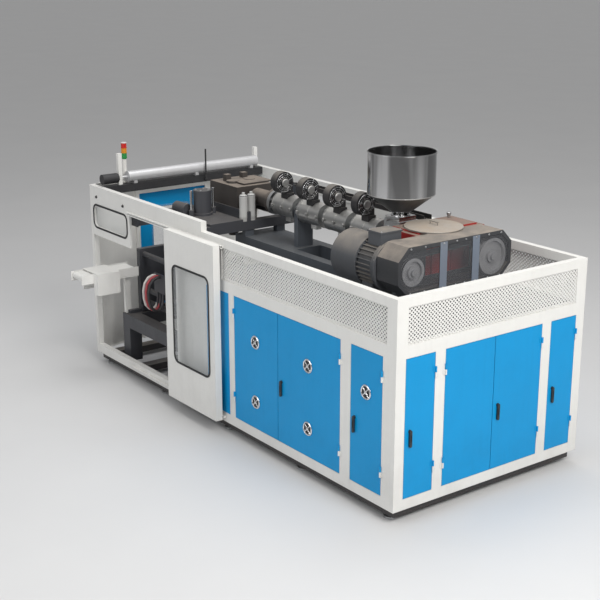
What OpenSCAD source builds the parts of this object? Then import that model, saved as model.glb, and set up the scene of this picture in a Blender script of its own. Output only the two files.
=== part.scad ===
/* [Overall] */
// Width over the two long sides
body_w = 2100; // [1950:10:2300]
// Length of the cabinet that carries the extruder
cabinet_l = 2725; // [2720:5:2900]
// Length of the moulding section, to its corner posts
clamp_l = 2175; // [2120:5:2400]
// How far the operator wall bows out past the corner posts
end_bow = 120; // [60:10:200]
// Height of the cabinet's parapet
cabinet_h = 1850; // [1830:5:1900]
// Height of the beams over the moulding section
beam_top = 1940; // [1920:5:2000]

/* [Base and feet] */
// Top of the black base
base_h = 113; // [100:1:130]
// Height of the base beams
base_beam = 70; // [50:5:80]
// Width of the base beams
base_beam_w = 120; // [100:10:140]
// How far the base stands back from the sides
base_inset = 45; // [30:5:80]
// Radius of a foot
foot_r = 55; // [40:5:60]
// Thickness of a foot's disc
foot_t = 18; // [12:1:24]
// Radius of a foot's stud
foot_stud_r = 14; // [10:1:18]

/* [White frame] */
// Depth of the frame members
frame_d = 60; // [50:5:80]
// Height of the top rail
top_rail = 79; // [60:1:100]
// Height of the perforated band
grille_h = 296; // [260:2:310]
// Height of the rail under the perforated band
mid_rail = 108; // [90:2:120]
// Height of the bottom rail
bottom_rail = 92; // [80:2:110]
// Width of the corner post beside the perforated band
corner_w = 114; // [100:2:130]
// Length of plain plate between the grille and the moulding section
plain_plate = 332; // [300:4:360]
// Height of the beams over the moulding section
beam_h = 152; // [130:2:170]
// Width of the far corner posts
far_post = 51; // [45:1:80]
// Width of the fixed panel behind the parked sliding door
inner_panel = 515; // [500:5:530]

/* [Long side doors, from the drive end] */
// Near edge of the narrow door
narrow_from = 153; // [140:1:160]
// Width of the narrow door
narrow_w = 389; // [360:1:400]
// Near edge of the double door
double_from = 673; // [660:1:690]
// Width of the near leaf
near_leaf_w = 860; // [800:5:870]
// Width of the far leaf
far_leaf_w = 669; // [600:5:675]
// Near edge of the fixed panel
fixed_from = 2287; // [2260:1:2300]
// Width of the fixed panel
fixed_w = 373; // [350:1:390]

/* [End doors] */
// Width of the double door in the drive end
end_double_w = 1084; // [1000:4:1120]
// Width of each narrow door in the drive end
end_narrow_w = 305; // [260:5:310]
// Post between the doors of the drive end
end_post = 105; // [90:5:110]

/* [Door leaves] */
// Sheet thickness
sheet_t = 3; // [2:0.5:4]
// Depth of a door's folded edge
leaf_d = 26; // [20:1:32]
// Gap round a door
door_gap = 3; // [2:0.5:4]
// Radius of the round vents
vent_r = 52; // [45:1:60]
// Slats in a vent
vent_slats = 5; // [3:1:6]
// Radius of a hinge knuckle
hinge_r = 8; // [7:1:10]
// Radius of a hinge pin
hinge_pin_r = 4; // [3:0.5:5]
// Height of one hinge knuckle
knuckle_h = 45; // [35:5:60]
// Radial clearance in a hinge
hinge_clear = 0.05; // [0.02:0.01:0.1]
// Length of a handle
handle_l = 130; // [110:5:150]
// Width of a handle
handle_w = 24; // [20:1:30]
// Thickness of a handle
handle_t = 14; // [10:1:18]

/* [Sliding doors] */
// Width of a sliding door
slide_w = 850; // [820:5:860]
// How far the shut door reaches over the cabinet
slide_lap = 365; // [355:5:375]
// Top of the door
slide_top = 1802; // [1796:1:1806]
// Height of the door
slide_h = 1662; // [1650:1:1670]
// How far it stands out from the side
slide_proud = 110; // [100:2:120]
// Depth of its folded edge
slide_edge = 70; // [60:2:80]
// Width of its window
pane_w = 610; // [560:5:630]
// Height of its window
pane_h = 937; // [880:5:960]
// Height of the bottom of its window above the floor
pane_z = 543; // [520:1:570]
// Corner radius of the windows
pane_r = 60; // [40:5:70]
// Width of a window's rubber gasket
gasket_w = 16; // [12:1:20]
// How far a pane reaches past its opening
pane_lap = 20; // [18:1:24]
// Travel of a sliding door
slide_travel = 868; // [862:1:874]

/* [Small window panels] */
// Width of the panel
win_panel_w = 833; // [800:1:840]
// Height of the panel
win_panel_h = 368; // [350:2:380]
// Width of its window
win_w = 699; // [660:1:720]
// Height of its window
win_h = 228; // [210:2:240]
// Height of the bottom of its window over the panel's lower edge
win_up = 94; // [80:1:100]

/* [Operator wall] */
// Width of the flat middle of the wall
wall_mid_w = 1200; // [1100:10:1300]
// Thickness of the wall sheet
wall_t = 4; // [3:0.5:6]
// Width of the operator door
op_door_w = 840; // [780:10:880]
// Bottom of the operator door
op_door_z = 400; // [360:10:440]
// Height of the operator door
op_door_h = 1350; // [1300:10:1400]
// Width of the blue frame round the door's window
op_margin = 180; // [160:5:200]
// Width of the control panel
panel_w = 300; // [260:10:330]
// Height of the control panel
panel_h = 430; // [400:10:460]
// Thickness of the control panel
panel_t = 36; // [30:2:44]
// Bottom of the control panel
panel_z = 1180; // [1100:10:1250]
// Radius of the stop button
stop_r = 20; // [16:1:24]
// Travel of the stop button
stop_travel = 6; // [4:1:8]

/* [Deck and extruder stand] */
// Height of the sunken deck
deck_z = 1450; // [1440:2:1460]
// Thickness of the deck
deck_t = 6; // [4:1:8]
// Height of the stand's beams
stand_beam_h = 120; // [100:5:140]
// Width of the stand's beams
stand_beam_w = 100; // [80:5:120]
// Half distance between the stand's beams
stand_half = 190; // [170:5:210]

/* [Extruder] */
// Sideways place of the barrel from the middle
barrel_y = 46; // [20:2:60]
// Height of the barrel's axis
barrel_z = 1930; // [1920:2:1940]
// Length of the barrel from the gearbox
barrel_l = 1960; // [1940:5:1980]
// Radius of the barrel
barrel_r = 70; // [60:2:80]
// Radius of the heater covers
cover_r = 115; // [105:1:120]
// Length of one heater cover
cover_l = 330; // [300:5:350]
// Distance between the blowers
blower_pitch = 406; // [395:1:412]
// Distance of the first blower from the drive end
blower_from = 1619; // [1610:1:1630]
// Number of heating zones
zones = 4; // [3:1:4]
// Radius of a blower's housing
blower_r = 105; // [95:1:108]
// Width of a blower's housing
blower_w = 84; // [70:2:96]
// How far a blower stands to the side of the barrel
blower_side = 106; // [98:1:112]
// Height of a blower's axis over the barrel's
blower_up = 245; // [238:1:250]
// Length of the feed block
feed_l = 210; // [190:5:220]

/* [Hopper] */
// Radius of the hopper
hopper_r = 294; // [280:2:304]
// Height of the hopper's straight wall
hopper_wall_h = 365; // [340:5:400]
// Height of the hopper's cone
hopper_cone_h = 190; // [170:5:220]
// Radius of the hopper's outlet
outlet_r = 55; // [45:1:60]
// Wall of the hopper
hopper_t = 3; // [2:0.5:4]
// Radius of the hopper's lid
lid_r = 250; // [240:2:256]
// Distance of the lying lid's middle from the drive end
lid_from = 810; // [790:5:830]
// Sideways place of the lying lid
lid_y = 40; // [20:5:60]
// Distance of the hopper's axis from the drive end
hopper_from = 1235; // [1230:1:1245]
// Thickness of the gate blade
gate_t = 6; // [4:1:8]
// Clearance round the gate blade
gate_clear = 0.5; // [0.3:0.1:0.8]
// Travel of the gate blade
gate_travel = 125; // [115:1:130]

/* [Drive] */
// Distance of the gearbox's front from the drive end
gearbox_from = 670; // [665:1:680]
// Length of the gearbox
gearbox_l = 440; // [420:5:445]
// Width of the gearbox
gearbox_w = 780; // [740:10:800]
// Sideways place of the gearbox's near face
gearbox_y = -260; // [-270:2:-250]
// Height of the tops of gearbox and guard
drive_top = 2100; // [2090:2:2110]
// Bottom of the gearbox
gearbox_z = 1690; // [1680:2:1700]
// Sideways place of the gearbox pulley
big_pulley_y = 372; // [350:1:376]
// Height of both pulleys
pulley_z = 1876; // [1874:1:1884]
// Radius of the gearbox pulley
big_pulley_r = 155; // [140:1:165]
// Sideways place of the motor
motor_y = -505; // [-535:1:-497]
// Radius of the motor pulley
small_pulley_r = 115; // [100:1:125]
// Width of the pulleys
pulley_w = 110; // [90:2:120]
// Belt grooves in the pulleys
grooves = 5; // [3:1:6]
// Radius of the shafts
shaft_r = 30; // [24:1:34]
// Radial clearance of the shafts
shaft_clear = 0.05; // [0.02:0.01:0.1]
// Thickness of the belts
belt_t = 12; // [8:1:14]
// Gap between belts and pulleys
belt_clear = 0.4; // [0.3:0.1:0.6]
// Radius of the motor
motor_r = 206; // [190:2:210]
// Length of the motor without its fan cowl
motor_l = 250; // [240:5:280]
// Length of the fan cowl
cowl_l = 325; // [290:5:340]
// Cooling fins on the motor
motor_fins = 32; // [16:2:40]

/* [Belt guard] */
// Depth of the guard
guard_d = 260; // [240:5:280]
// Near end of the guard
guard_y0 = -700; // [-715:1:-695]
// Far end of the guard
guard_y1 = 545; // [535:1:560]
// Bottom of the guard
guard_z0 = 1700; // [1690:1:1705]
// Corner cut of the guard
guard_cut = 105; // [90:5:120]
// Wall of the guard
guard_t = 3; // [2:0.5:4]
// Width of the guard's front rim and straps
guard_rim = 34; // [26:2:40]
// Width of the guard's straps
strap_w = 76; // [60:2:84]

/* [Die head] */
// Distance of the die head's axis from the drive end
head_from = 3700; // [3690:5:3710]
// Length of the head's block
head_l = 500; // [460:5:520]
// Width of the head's block
head_w = 420; // [380:5:460]
// Height of the head's block
head_h = 210; // [190:5:230]
// Top of the cover over the head
head_top = 2052; // [2046:1:2070]
// Number of dies
dies = 2; // [1:1:2]
// Distance between the dies
die_pitch = 200; // [180:5:220]
// Radius of a die's body
die_r = 78; // [70:1:85]
// Length of a die's body below the block
die_l = 330; // [300:5:360]

/* [Mould clamp] */
// Top of the bed
bed_z = 620; // [600:5:630]
// Size of the bed's beams
bed_beam = 140; // [120:5:150]
// Height of the carriage's rails
rail_h = 34; // [28:1:40]
// Width of the carriage's rails
rail_w = 46; // [40:1:54]
// Clearance between the carriage and its rails
runner_clear = 0.5; // [0.3:0.1:0.8]
// Sideways place of the blow station
station_y = -420; // [-430:2:-410]
// Thickness of the end plates
yoke_t = 60; // [50:5:70]
// Distance of the end plates from the parting plane
yoke_out = 710; // [690:5:730]
// Width of end plates and platens
platen_w = 680; // [640:10:700]
// Height of a platen
platen_h = 500; // [490:10:540]
// Thickness of a platen
platen_t = 60; // [50:5:70]
// Opening stroke of each platen
stroke = 200; // [180:5:210]
// Radius of the tie bars
tie_r = 28; // [24:1:32]
// Inset of the tie bars from a platen's edges
tie_in = 60; // [56:1:66]
// Clearance of the tie bars in the platens
tie_clear = 0.4; // [0.3:0.1:0.6]
// Thickness of a mould half
mould_t = 150; // [140:5:155]
// Width of a mould
mould_w = 460; // [440:5:480]
// Height of a mould
mould_h = 380; // [370:5:400]
// Radius of a moulded bottle
bottle_r = 62; // [50:1:66]
// Height of a moulded bottle without its neck
bottle_h = 230; // [210:5:240]
// Radius of a bottle's neck
neck_r = 22; // [21:1:26]
// Radius of a clamp cylinder
ram_r = 75; // [60:2:85]
// Radius of a clamp rod
ram_rod_r = 34; // [28:1:38]
// How far a shut clamp rod reaches past the end plate's inner face
rod_reach = 45; // [40:1:50]

/* [Blow station] */
// Height of the underside of the cross beams
cross_z = 1640; // [1620:5:1650]
// Size of the cross beams
cross_beam = 90; // [80:5:100]
// Radius of the blow cylinder
blow_r = 90; // [60:2:96]
// Radius of a blow pin
pin_r = 16; // [12:1:18]
// Length of a blow pin
pin_l = 180; // [170:5:190]
// Travel of the blow pins
pin_travel = 170; // [150:5:175]

/* [Conveyor] */
// Distance of its axis from the far end of the moulding section
conv_from_far = 400; // [390:5:410]
// Width of the conveyor
conv_w = 240; // [200:5:250]
// Top of the belt
conv_z = 1120; // [1100:5:1130]
// Inner end from the middle of the machine
conv_in = 795; // [790:1:800]
// Outer end from the middle of the machine
conv_out = 1450; // [1400:10:1500]
// Radius of the end rollers
conv_roll_r = 34; // [28:1:38]
// Height of the side plates
conv_side_h = 100; // [90:2:110]

/* [Signals and top beam] */
// Distance of the top beam from the far end of the moulding section
top_beam_in = 180; // [170:1:190]
// Radius of the tube on the top beam
tube_r = 58; // [50:1:62]
// Height of the tube's axis
tube_z = 2012; // [2008:1:2020]
// Sideways place of the signal tower
tower_y = -675; // [-690:5:-660]
// Top of the signal tower
tower_top = 2360; // [2320:5:2380]
// Radius of its lamps
lamp_r = 29; // [24:1:32]

/* [Hydraulic unit] */
// Distance of the tank's far end from the drive end
tank_from = 1810; // [1800:5:1840]
// Length of the tank
tank_l = 900; // [880:5:920]

/* [Hidden] */
$fn = 48;

white = "#f2f0ea";
blue = "#1f8fd0";
steel = "#c9ccce";
dark = "#3a3d42";
grey = "#8b9096";
red = "#b03026";
black = "#1c1d1f";
clear = [0.75, 0.82, 0.85, 0.4];
cut = 1;

half_w = body_w / 2;
overall_l = cabinet_l + clamp_l + end_bow;
x_drive = overall_l / 2;
x_step = x_drive - cabinet_l;
x_far = x_step - clamp_l;
x_wall = x_far - end_bow;
gasket_t = 6;
y_mid = (conv_out - half_w - slide_proud - gasket_t) / 2;

door_z0 = base_h + bottom_rail;
grille_z1 = cabinet_h - top_rail;
grille_z0 = grille_z1 - grille_h;
door_z1 = grille_z0 - mid_rail;
grille_x1 = x_drive - corner_w;
grille_x0 = x_step + plain_plate;
inner_half = half_w - frame_d;
beam_z0 = beam_top - beam_h;

function from_drive(d) = x_drive - d;
narrow = [from_drive(narrow_from + narrow_w), from_drive(narrow_from)];
near_leaf = [from_drive(double_from + near_leaf_w), from_drive(double_from)];
far_leaf = [near_leaf[0] - far_leaf_w, near_leaf[0]];
fixed = [from_drive(fixed_from + fixed_w), from_drive(fixed_from)];
end_double = [-end_double_w / 2, end_double_w / 2];
end_left = [end_double[0] - end_post - end_narrow_w, end_double[0] - end_post];
end_right = [end_double[1] + end_post, end_double[1] + end_post + end_narrow_w];

// Everything stands with its ground point under the middle of the whole outline
module place() {
  translate([0, y_mid, 0]) children();
}

// Faces of the machine as flat drawings: x to the right, y up, z outwards
module on_left() {
  translate([0, -half_w, 0]) rotate([90, 0, 0]) children();
}
module on_end() {
  translate([x_drive, 0, 0]) rotate([90, 0, 90]) children();
}
module on_operator() {
  translate([x_wall, 0, 0]) rotate([90, 0, -90]) children();
}
// The bent panel left of the operator, where the controls are
bend_y = (half_w - wall_mid_w / 2);
bend_angle = atan2(end_bow, bend_y);
module on_bend() {
  translate([(x_far + x_wall) / 2, -half_w + bend_y / 2, 0])
    rotate([0, 0, bend_angle]) rotate([90, 0, -90]) children();
}

// A bar along an axis
module bar(x0, x1, y0, y1, z0, z1) {
  translate([x0, y0, z0]) cube([x1 - x0, y1 - y0, z1 - z0]);
}
module rect2(x0, x1, y0, y1) {
  translate([x0, y0]) square([x1 - x0, y1 - y0]);
}
module round_rect(w, h, r) {
  square([w - 2 * r, h], center = true);
  square([w, h - 2 * r], center = true);
  for (sx = [-1, 1], sy = [-1, 1])
    translate([sx * (w / 2 - r), sy * (h / 2 - r)]) circle(r);
}
module along_x(x0, x1, y, z, r) {
  translate([x0, y, z]) rotate([0, 90, 0]) cylinder(r = r, h = x1 - x0);
}
module along_y(x, y0, y1, z, r) {
  translate([x, y1, z]) rotate([90, 0, 0]) cylinder(r = r, h = y1 - y0);
}

// Hinges: the frame carries the lower knuckle with its pin, the door the upper one
hinge_zs = [0.14, 0.82];
leaf_plate = 26;
hinge_off = 0.5;
knuckle_gap = 0.5;
hinge_w = hinge_r + hinge_off;
module hinge_place(u, v0, v1) {
  for (k = hinge_zs)
    translate([u, v0 + k * (v1 - v0), hinge_w]) rotate([-90, 0, 0]) children();
}
// s is +1 where the post lies to the right of the hinge, seen from outside
module hinge_plate(s, z0, h) {
  translate([s > 0 ? 1 : -leaf_plate, hinge_w - sheet_t, z0]) cube([leaf_plate - 1, sheet_t, h]);
}
module hinge_on_post(u, v0, v1, s) {
  hinge_place(u, v0, v1) {
    cylinder(r = hinge_r, h = knuckle_h);
    cylinder(r = hinge_pin_r, h = 2 * knuckle_h - 5);
    hinge_plate(s, 0, knuckle_h);
  }
}
module hinge_on_leaf(u, v0, v1, s) {
  hinge_place(u, v0, v1)
    difference() {
      union() {
        translate([0, 0, knuckle_h + knuckle_gap]) cylinder(r = hinge_r, h = knuckle_h);
        hinge_plate(-s, knuckle_h + knuckle_gap, knuckle_h);
      }
      cylinder(r = hinge_pin_r + hinge_clear, h = 3 * knuckle_h);
    }
}

// A folded door leaf between u0 and u1, hinged at its left (-1) or right (+1) edge
spindle_r = 7;
vent_ring = 9;
module leaf_pan(u0, u1, v0, v1, bores, vents) {
  w = u1 - u0 - 2 * door_gap;
  h = v1 - v0 - 2 * door_gap;
  difference() {
    translate([u0 + door_gap, v0 + door_gap, -leaf_d]) cube([w, h, leaf_d]);
    translate([u0 + door_gap + sheet_t, v0 + door_gap + sheet_t, -leaf_d - cut])
      cube([w - 2 * sheet_t, h - 2 * sheet_t, leaf_d - sheet_t + cut]);
    for (b = bores) translate([b[0], b[1], -leaf_d]) cylinder(r = spindle_r, h = 2 * leaf_d);
    for (p = vents) translate([p[0], p[1], -leaf_d]) cylinder(r = vent_r, h = 2 * leaf_d);
  }
  for (p = vents) translate([p[0], p[1], 0]) vent();
}
module vent() {
  pitch = 2 * vent_r / vent_slats;
  difference() {
    translate([0, 0, -sheet_t]) cylinder(r = vent_r + vent_ring, h = sheet_t + 4);
    translate([0, 0, -sheet_t - cut]) cylinder(r = vent_r, h = sheet_t + 4 + 2 * cut);
  }
  intersection() {
    translate([0, 0, -12]) cylinder(r = vent_r + 1, h = 16);
    for (k = [0 : vent_slats - 1])
      translate([-vent_r - 1, -vent_r + (k + 0.5) * pitch - 1, -12])
        rotate([35, 0, 0]) cube([2 * vent_r + 2, 2, 17]);
  }
}
module leaf(u0, u1, v0, v1, s, bores, vents) {
  leaf_pan(u0, u1, v0, v1, bores, vents);
  hinge_on_leaf(s > 0 ? u1 : u0, v0, v1, s);
}

// A turning handle: its spindle runs in the leaf, the lever hangs down at rest
spindle_clear = 0.05;
module turning_handle(u, v) {
  translate([u, v, 0]) {
    translate([0, 0, -leaf_d + 2]) cylinder(r = spindle_r - spindle_clear, h = leaf_d + 6);
    translate([0, 0, -leaf_d - 4]) cylinder(r = spindle_r + 5, h = 8);
    translate([-9, -40, -leaf_d - 4]) cube([18, 46, 4]);
    translate([0, 0, 0.5]) cylinder(r = handle_w / 2 + 3, h = 5.5);
    translate([0, 0, 6]) linear_extrude(handle_t)
      difference() {
        union() {
          circle(handle_w / 2);
          translate([-handle_w / 2, -handle_l + handle_w / 2]) square([handle_w, handle_l - handle_w / 2]);
          translate([0, -handle_l + handle_w / 2]) circle(handle_w / 2);
        }
        translate([0, -handle_l / 2 + 6]) square([handle_w / 3, handle_l / 2], center = true);
      }
  }
}
handle_z = (door_z0 + door_z1) / 2 - 20;
handle_in = 55;

// Base and feet
foot_xs = [for (k = [0 : 4]) x_far + 150 + k * (x_drive - x_far - 300) / 4];
foot_y = half_w - base_inset - base_beam_w / 2;
module base_frame() color(black) place() {
  x0 = x_far + base_inset;
  x1 = x_drive - base_inset;
  y1 = half_w - base_inset;
  z0 = base_h - base_beam;
  difference() {
    bar(x0, x1, -y1, y1, z0, base_h);
    bar(x0 + base_beam_w, x1 - base_beam_w, -y1 + base_beam_w, y1 - base_beam_w, z0 - cut, base_h + cut);
    for (x = foot_xs, s = [-1, 1])
      translate([x, s * foot_y, z0 - cut]) cylinder(r = foot_stud_r, h = base_beam + 2 * cut);
  }
  for (x = [x_far + 700, x_step, (x_step + x_drive) / 2])
    bar(x - base_beam_w / 2, x + base_beam_w / 2, -y1 + base_beam_w, y1 - base_beam_w, z0, base_h);
}
module levelling_feet() color(steel) place()
  for (x = foot_xs, s = [-1, 1])
    translate([x, s * foot_y, 0]) {
      cylinder(r = foot_r, h = foot_t);
      cylinder(r = foot_stud_r - 0.05, h = base_h - 12);
      translate([0, 0, foot_t]) cylinder(r = foot_stud_r + 12, h = base_h - base_beam - foot_t, $fn = 6);
    }

// White frame of the cabinet: one flat frame for each side
module cabinet_side_2d() difference() {
  rect2(x_step, x_drive, base_h, cabinet_h);
  rect2(grille_x0, grille_x1, grille_z0, grille_z1);
  rect2(narrow[0], narrow[1], door_z0, door_z1);
  rect2(far_leaf[0], near_leaf[1], door_z0, door_z1);
  rect2(fixed[0], fixed[1], door_z0, door_z1);
}
module cabinet_end_2d() difference() {
  rect2(-half_w, half_w, base_h, cabinet_h);
  rect2(-half_w + corner_w, half_w - corner_w, grille_z0, grille_z1);
  rect2(end_left[0], end_left[1], door_z0, door_z1);
  rect2(end_double[0], end_double[1], door_z0, door_z1);
  rect2(end_right[0], end_right[1], door_z0, door_z1);
}
module cabinet_frame() color(white) place() {
  on_left() {
    translate([0, 0, -frame_d]) linear_extrude(frame_d) cabinet_side_2d();
    hinge_on_post(narrow[1], door_z0, door_z1, 1);
    hinge_on_post(near_leaf[1], door_z0, door_z1, 1);
    hinge_on_post(far_leaf[0], door_z0, door_z1, -1);
  }
  mirror([0, 1, 0]) on_left() translate([0, 0, -frame_d]) linear_extrude(frame_d) cabinet_side_2d();
  on_end() {
    translate([0, 0, -frame_d]) linear_extrude(frame_d) cabinet_end_2d();
    hinge_on_post(end_left[1], door_z0, door_z1, 1);
    hinge_on_post(end_double[0], door_z0, door_z1, -1);
    hinge_on_post(end_double[1], door_z0, door_z1, 1);
    hinge_on_post(end_right[1], door_z0, door_z1, 1);
  }
  bar(x_step, x_step + frame_d, -inner_half, inner_half, deck_z - 100, deck_z);
  bar(x_step, x_step + frame_d, -inner_half, inner_half, base_h, base_h + bottom_rail);
}

// White frame of the moulding section: beams, corner posts, small window panels, fixed panels
win_x1 = x_far + win_panel_w;
win_z0 = beam_z0 - win_panel_h;
win_cx = (x_far + win_x1) / 2 + 10;
win_cz = win_z0 + win_up + win_h / 2;
skin_t = 25;
slide_x1 = x_step + slide_lap;
slide_x0 = slide_x1 - slide_w;
rail_x0 = slide_x0 - slide_travel - 10;
rail_deep = 30;
rail_z0 = beam_z0 - 22;
rail_z1 = beam_z0 + 8;
guide_z0 = slide_top - slide_h + 14;
guide_z1 = guide_z0 + 18;
shoe_clear = 0.5;
module top_rail_2d() difference() {
  rect2(0, rail_deep, rail_z0, rail_z1);
  rect2(8, rail_deep - 7, rail_z0 + 6, rail_z1 - 6);
  rect2(8, rail_deep + cut, rail_z0 + 11, rail_z1 - 11);
}
// Drawn with x outwards and y up, carried along the side
module along_side(x0, x1) {
  on_left() translate([x1, 0, 0]) rotate([0, -90, 0]) linear_extrude(x1 - x0) children();
}
module clamp_side() {
  bar(x_far, x_step, -half_w, -inner_half, beam_z0, beam_top);
  bar(x_far, x_far + far_post, -half_w, -inner_half, base_h, beam_z0);
  bar(x_far + far_post, x_step, -half_w, -inner_half, base_h, door_z0);
  on_left() translate([0, 0, -skin_t]) linear_extrude(skin_t)
    difference() {
      rect2(x_far + far_post, win_x1, win_z0, beam_z0);
      translate([win_cx, win_cz]) round_rect(win_w, win_h, pane_r);
    }
  on_left() translate([0, 0, -2 * skin_t]) linear_extrude(skin_t)
    rect2(x_step - inner_panel, x_step, door_z0, beam_z0);
  along_side(rail_x0, slide_x1) top_rail_2d();
  along_side(rail_x0, slide_x1) rect2(0, rail_deep, guide_z0, guide_z1);
}
top_x = x_far + top_beam_in;
top_half = 50;
post_s = 44;
post_y = -inner_half + 180;
stub_r = 14;
// The right post stands in the corner, the left one on the beam and carries the tube's drive
module right_post() {
  bar(top_x - top_half - post_s, top_x - top_half, inner_half - post_s, inner_half, beam_z0, 2150);
}
module drive_post() difference() {
  bar(top_x - post_s / 2, top_x + post_s / 2, post_y, post_y + post_s, beam_top, 2265);
  along_y(top_x, post_y - cut, post_y + post_s + cut, tube_z, stub_r + 0.2);
}
module clamp_frame() color(white) place() {
  clamp_side();
  mirror([0, 1, 0]) clamp_side();
  right_post();
  drive_post();
}

// Deck over the cabinet, with its joists
joists = 4;
module extruder_deck() color(dark) place() {
  bar(x_step, x_drive - frame_d, -inner_half, inner_half, deck_z, deck_z + deck_t);
  for (k = [1 : joists]) translate([x_step + k * cabinet_l / (joists + 1), 0, 0])
    bar(0, 50, -inner_half, inner_half, deck_z - 80, deck_z);
}

// Perforated sheets between the parapet's rails, all cut from one pattern
hole = 16;
hole_x = 64;
hole_z = 48;
module perforated_2d(x0, x1) {
  nx = floor((x1 - x0 - hole) / hole_x);
  nz = floor((grille_h - hole) / hole_z);
  difference() {
    rect2(x0, x1, grille_z0, grille_z1);
    for (i = [0 : nx - 1], k = [0 : nz - 1])
      translate([(x0 + x1) / 2 + (i - (nx - 1) / 2) * hole_x,
        (grille_z0 + grille_z1) / 2 + (k - (nz - 1) / 2) * hole_z])
        square(hole, center = true);
  }
}
module perforated_panels() color(white) place() {
  on_left() translate([0, 0, -12]) linear_extrude(sheet_t) perforated_2d(grille_x0, grille_x1);
  mirror([0, 1, 0]) on_left() translate([0, 0, -12]) linear_extrude(sheet_t)
    perforated_2d(grille_x0, grille_x1);
  on_end() translate([0, 0, -12]) linear_extrude(sheet_t)
    perforated_2d(-half_w + corner_w, half_w - corner_w);
}

// Blue panels that are screwed in and don't open
module fixed_panel(u0, u1) {
  translate([u0, door_z0, -leaf_d])
    difference() {
      cube([u1 - u0, door_z1 - door_z0, leaf_d - 2]);
      translate([sheet_t, sheet_t, -cut])
        cube([u1 - u0 - 2 * sheet_t, door_z1 - door_z0 - 2 * sheet_t, leaf_d - 2 - sheet_t + cut]);
    }
}
module fixed_side_panels() color(blue) place() {
  on_left() fixed_panel(fixed[0], fixed[1]);
  mirror([0, 1, 0]) on_left() {
    fixed_panel(fixed[0], fixed[1]);
    fixed_panel(far_leaf[0], near_leaf[1]);
    fixed_panel(narrow[0], narrow[1]);
  }
}

// Doors
function mid(a) = (a[0] + a[1]) / 2;
vent_hi = door_z0 + 0.7 * (door_z1 - door_z0);
vent_lo = door_z0 + 0.22 * (door_z1 - door_z0);
module end_door_left() color(blue) place()
  on_end() leaf(end_double[0], 0, door_z0, door_z1, -1, [], []);
module end_door_right() color(blue) place()
  on_end() leaf(0, end_double[1], door_z0, door_z1, 1, [[handle_in, handle_z]], []);
module end_narrow_door_left() color(blue) place()
  on_end() leaf(end_left[0], end_left[1], door_z0, door_z1, 1, [[end_left[0] + handle_in, handle_z]], []);
module end_narrow_door_right() color(blue) place()
  on_end() leaf(end_right[0], end_right[1], door_z0, door_z1, 1, [[end_right[0] + handle_in, handle_z]], []);
module side_door_near() color(blue) place()
  on_left() leaf(near_leaf[0], near_leaf[1], door_z0, door_z1, 1, [[near_leaf[0] + handle_in, handle_z]],
    [[mid(near_leaf), vent_hi], [mid(near_leaf), vent_lo]]);
module side_door_far() color(blue) place()
  on_left() leaf(far_leaf[0], far_leaf[1], door_z0, door_z1, -1, [],
    [[mid(far_leaf), vent_hi], [mid(far_leaf), vent_lo]]);
module side_narrow_door() color(blue) place()
  on_left() leaf(narrow[0], narrow[1], door_z0, door_z1, 1, [[narrow[0] + handle_in, handle_z]],
    [[mid(narrow), vent_hi]]);
module end_door_handle() color(black) place() on_end() turning_handle(handle_in, handle_z);
module end_narrow_handle_left() color(black) place()
  on_end() turning_handle(end_left[0] + handle_in, handle_z);
module end_narrow_handle_right() color(black) place()
  on_end() turning_handle(end_right[0] + handle_in, handle_z);
module side_door_handle() color(black) place()
  on_left() turning_handle(near_leaf[0] + handle_in, handle_z);
module side_narrow_handle() color(black) place()
  on_left() turning_handle(narrow[0] + handle_in, handle_z);

// Sliding doors: a folded tray with a window, hung on T shoes in the top rail
pane_cx = slide_x0 + slide_w / 2 + 25;
pane_cz = pane_z + pane_h / 2;
pane_t = 5;
module slide_shoe(x) {
  on_left() {
    translate([x, rail_z0 + 11 + shoe_clear, 20])
      cube([90, rail_z1 - rail_z0 - 22 - 2 * shoe_clear, slide_proud - 20 - sheet_t]);
    translate([x, rail_z0 + 6 + shoe_clear, 8 + shoe_clear])
      cube([90, rail_z1 - rail_z0 - 12 - 2 * shoe_clear, rail_deep - 15 - 2 * shoe_clear]);
    translate([x, guide_z1 + shoe_clear, 10]) cube([90, 8, slide_proud - 10 - sheet_t]);
    translate([x, guide_z0 - shoe_clear - 8, 10]) cube([90, 8, slide_proud - 10 - sheet_t]);
  }
}
module sliding_door() {
  on_left()
    difference() {
      translate([slide_x0, slide_top - slide_h, slide_proud - slide_edge])
        cube([slide_w, slide_h, slide_edge]);
      translate([slide_x0 + sheet_t, slide_top - slide_h + sheet_t, slide_proud - slide_edge - cut])
        cube([slide_w - 2 * sheet_t, slide_h - 2 * sheet_t, slide_edge - sheet_t + cut]);
      translate([pane_cx, pane_cz, 0]) linear_extrude(2 * slide_proud) round_rect(pane_w, pane_h, pane_r);
    }
  for (x = [slide_x0 + 60, slide_x1 - 150]) slide_shoe(x);
}
// A pane behind its sheet with a gasket in front; front is the sheet's outer face
module window_unit(w, h, front, t) {
  translate([0, 0, front - t - pane_t]) linear_extrude(pane_t)
    round_rect(w + 2 * pane_lap, h + 2 * pane_lap, pane_r + pane_lap);
  translate([0, 0, front]) linear_extrude(gasket_t)
    difference() {
      round_rect(w + 2 * gasket_w, h + 2 * gasket_w, pane_r + gasket_w);
      round_rect(w, h, pane_r);
    }
}
module sliding_window() {
  on_left() translate([pane_cx, pane_cz, 0]) window_unit(pane_w, pane_h, slide_proud, sheet_t);
}
module left_sliding_door() color(white) place() sliding_door();
module left_sliding_window() color(clear) place() sliding_window();
module right_sliding_door() color(white) place() mirror([0, 1, 0]) sliding_door();
module right_sliding_window() color(clear) place() mirror([0, 1, 0]) sliding_window();
module fixed_windows() color(clear) place() {
  on_left() translate([win_cx, win_cz, 0]) window_unit(win_w, win_h, 0, skin_t);
  mirror([0, 1, 0]) on_left() translate([win_cx, win_cz, 0]) window_unit(win_w, win_h, 0, skin_t);
}

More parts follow.
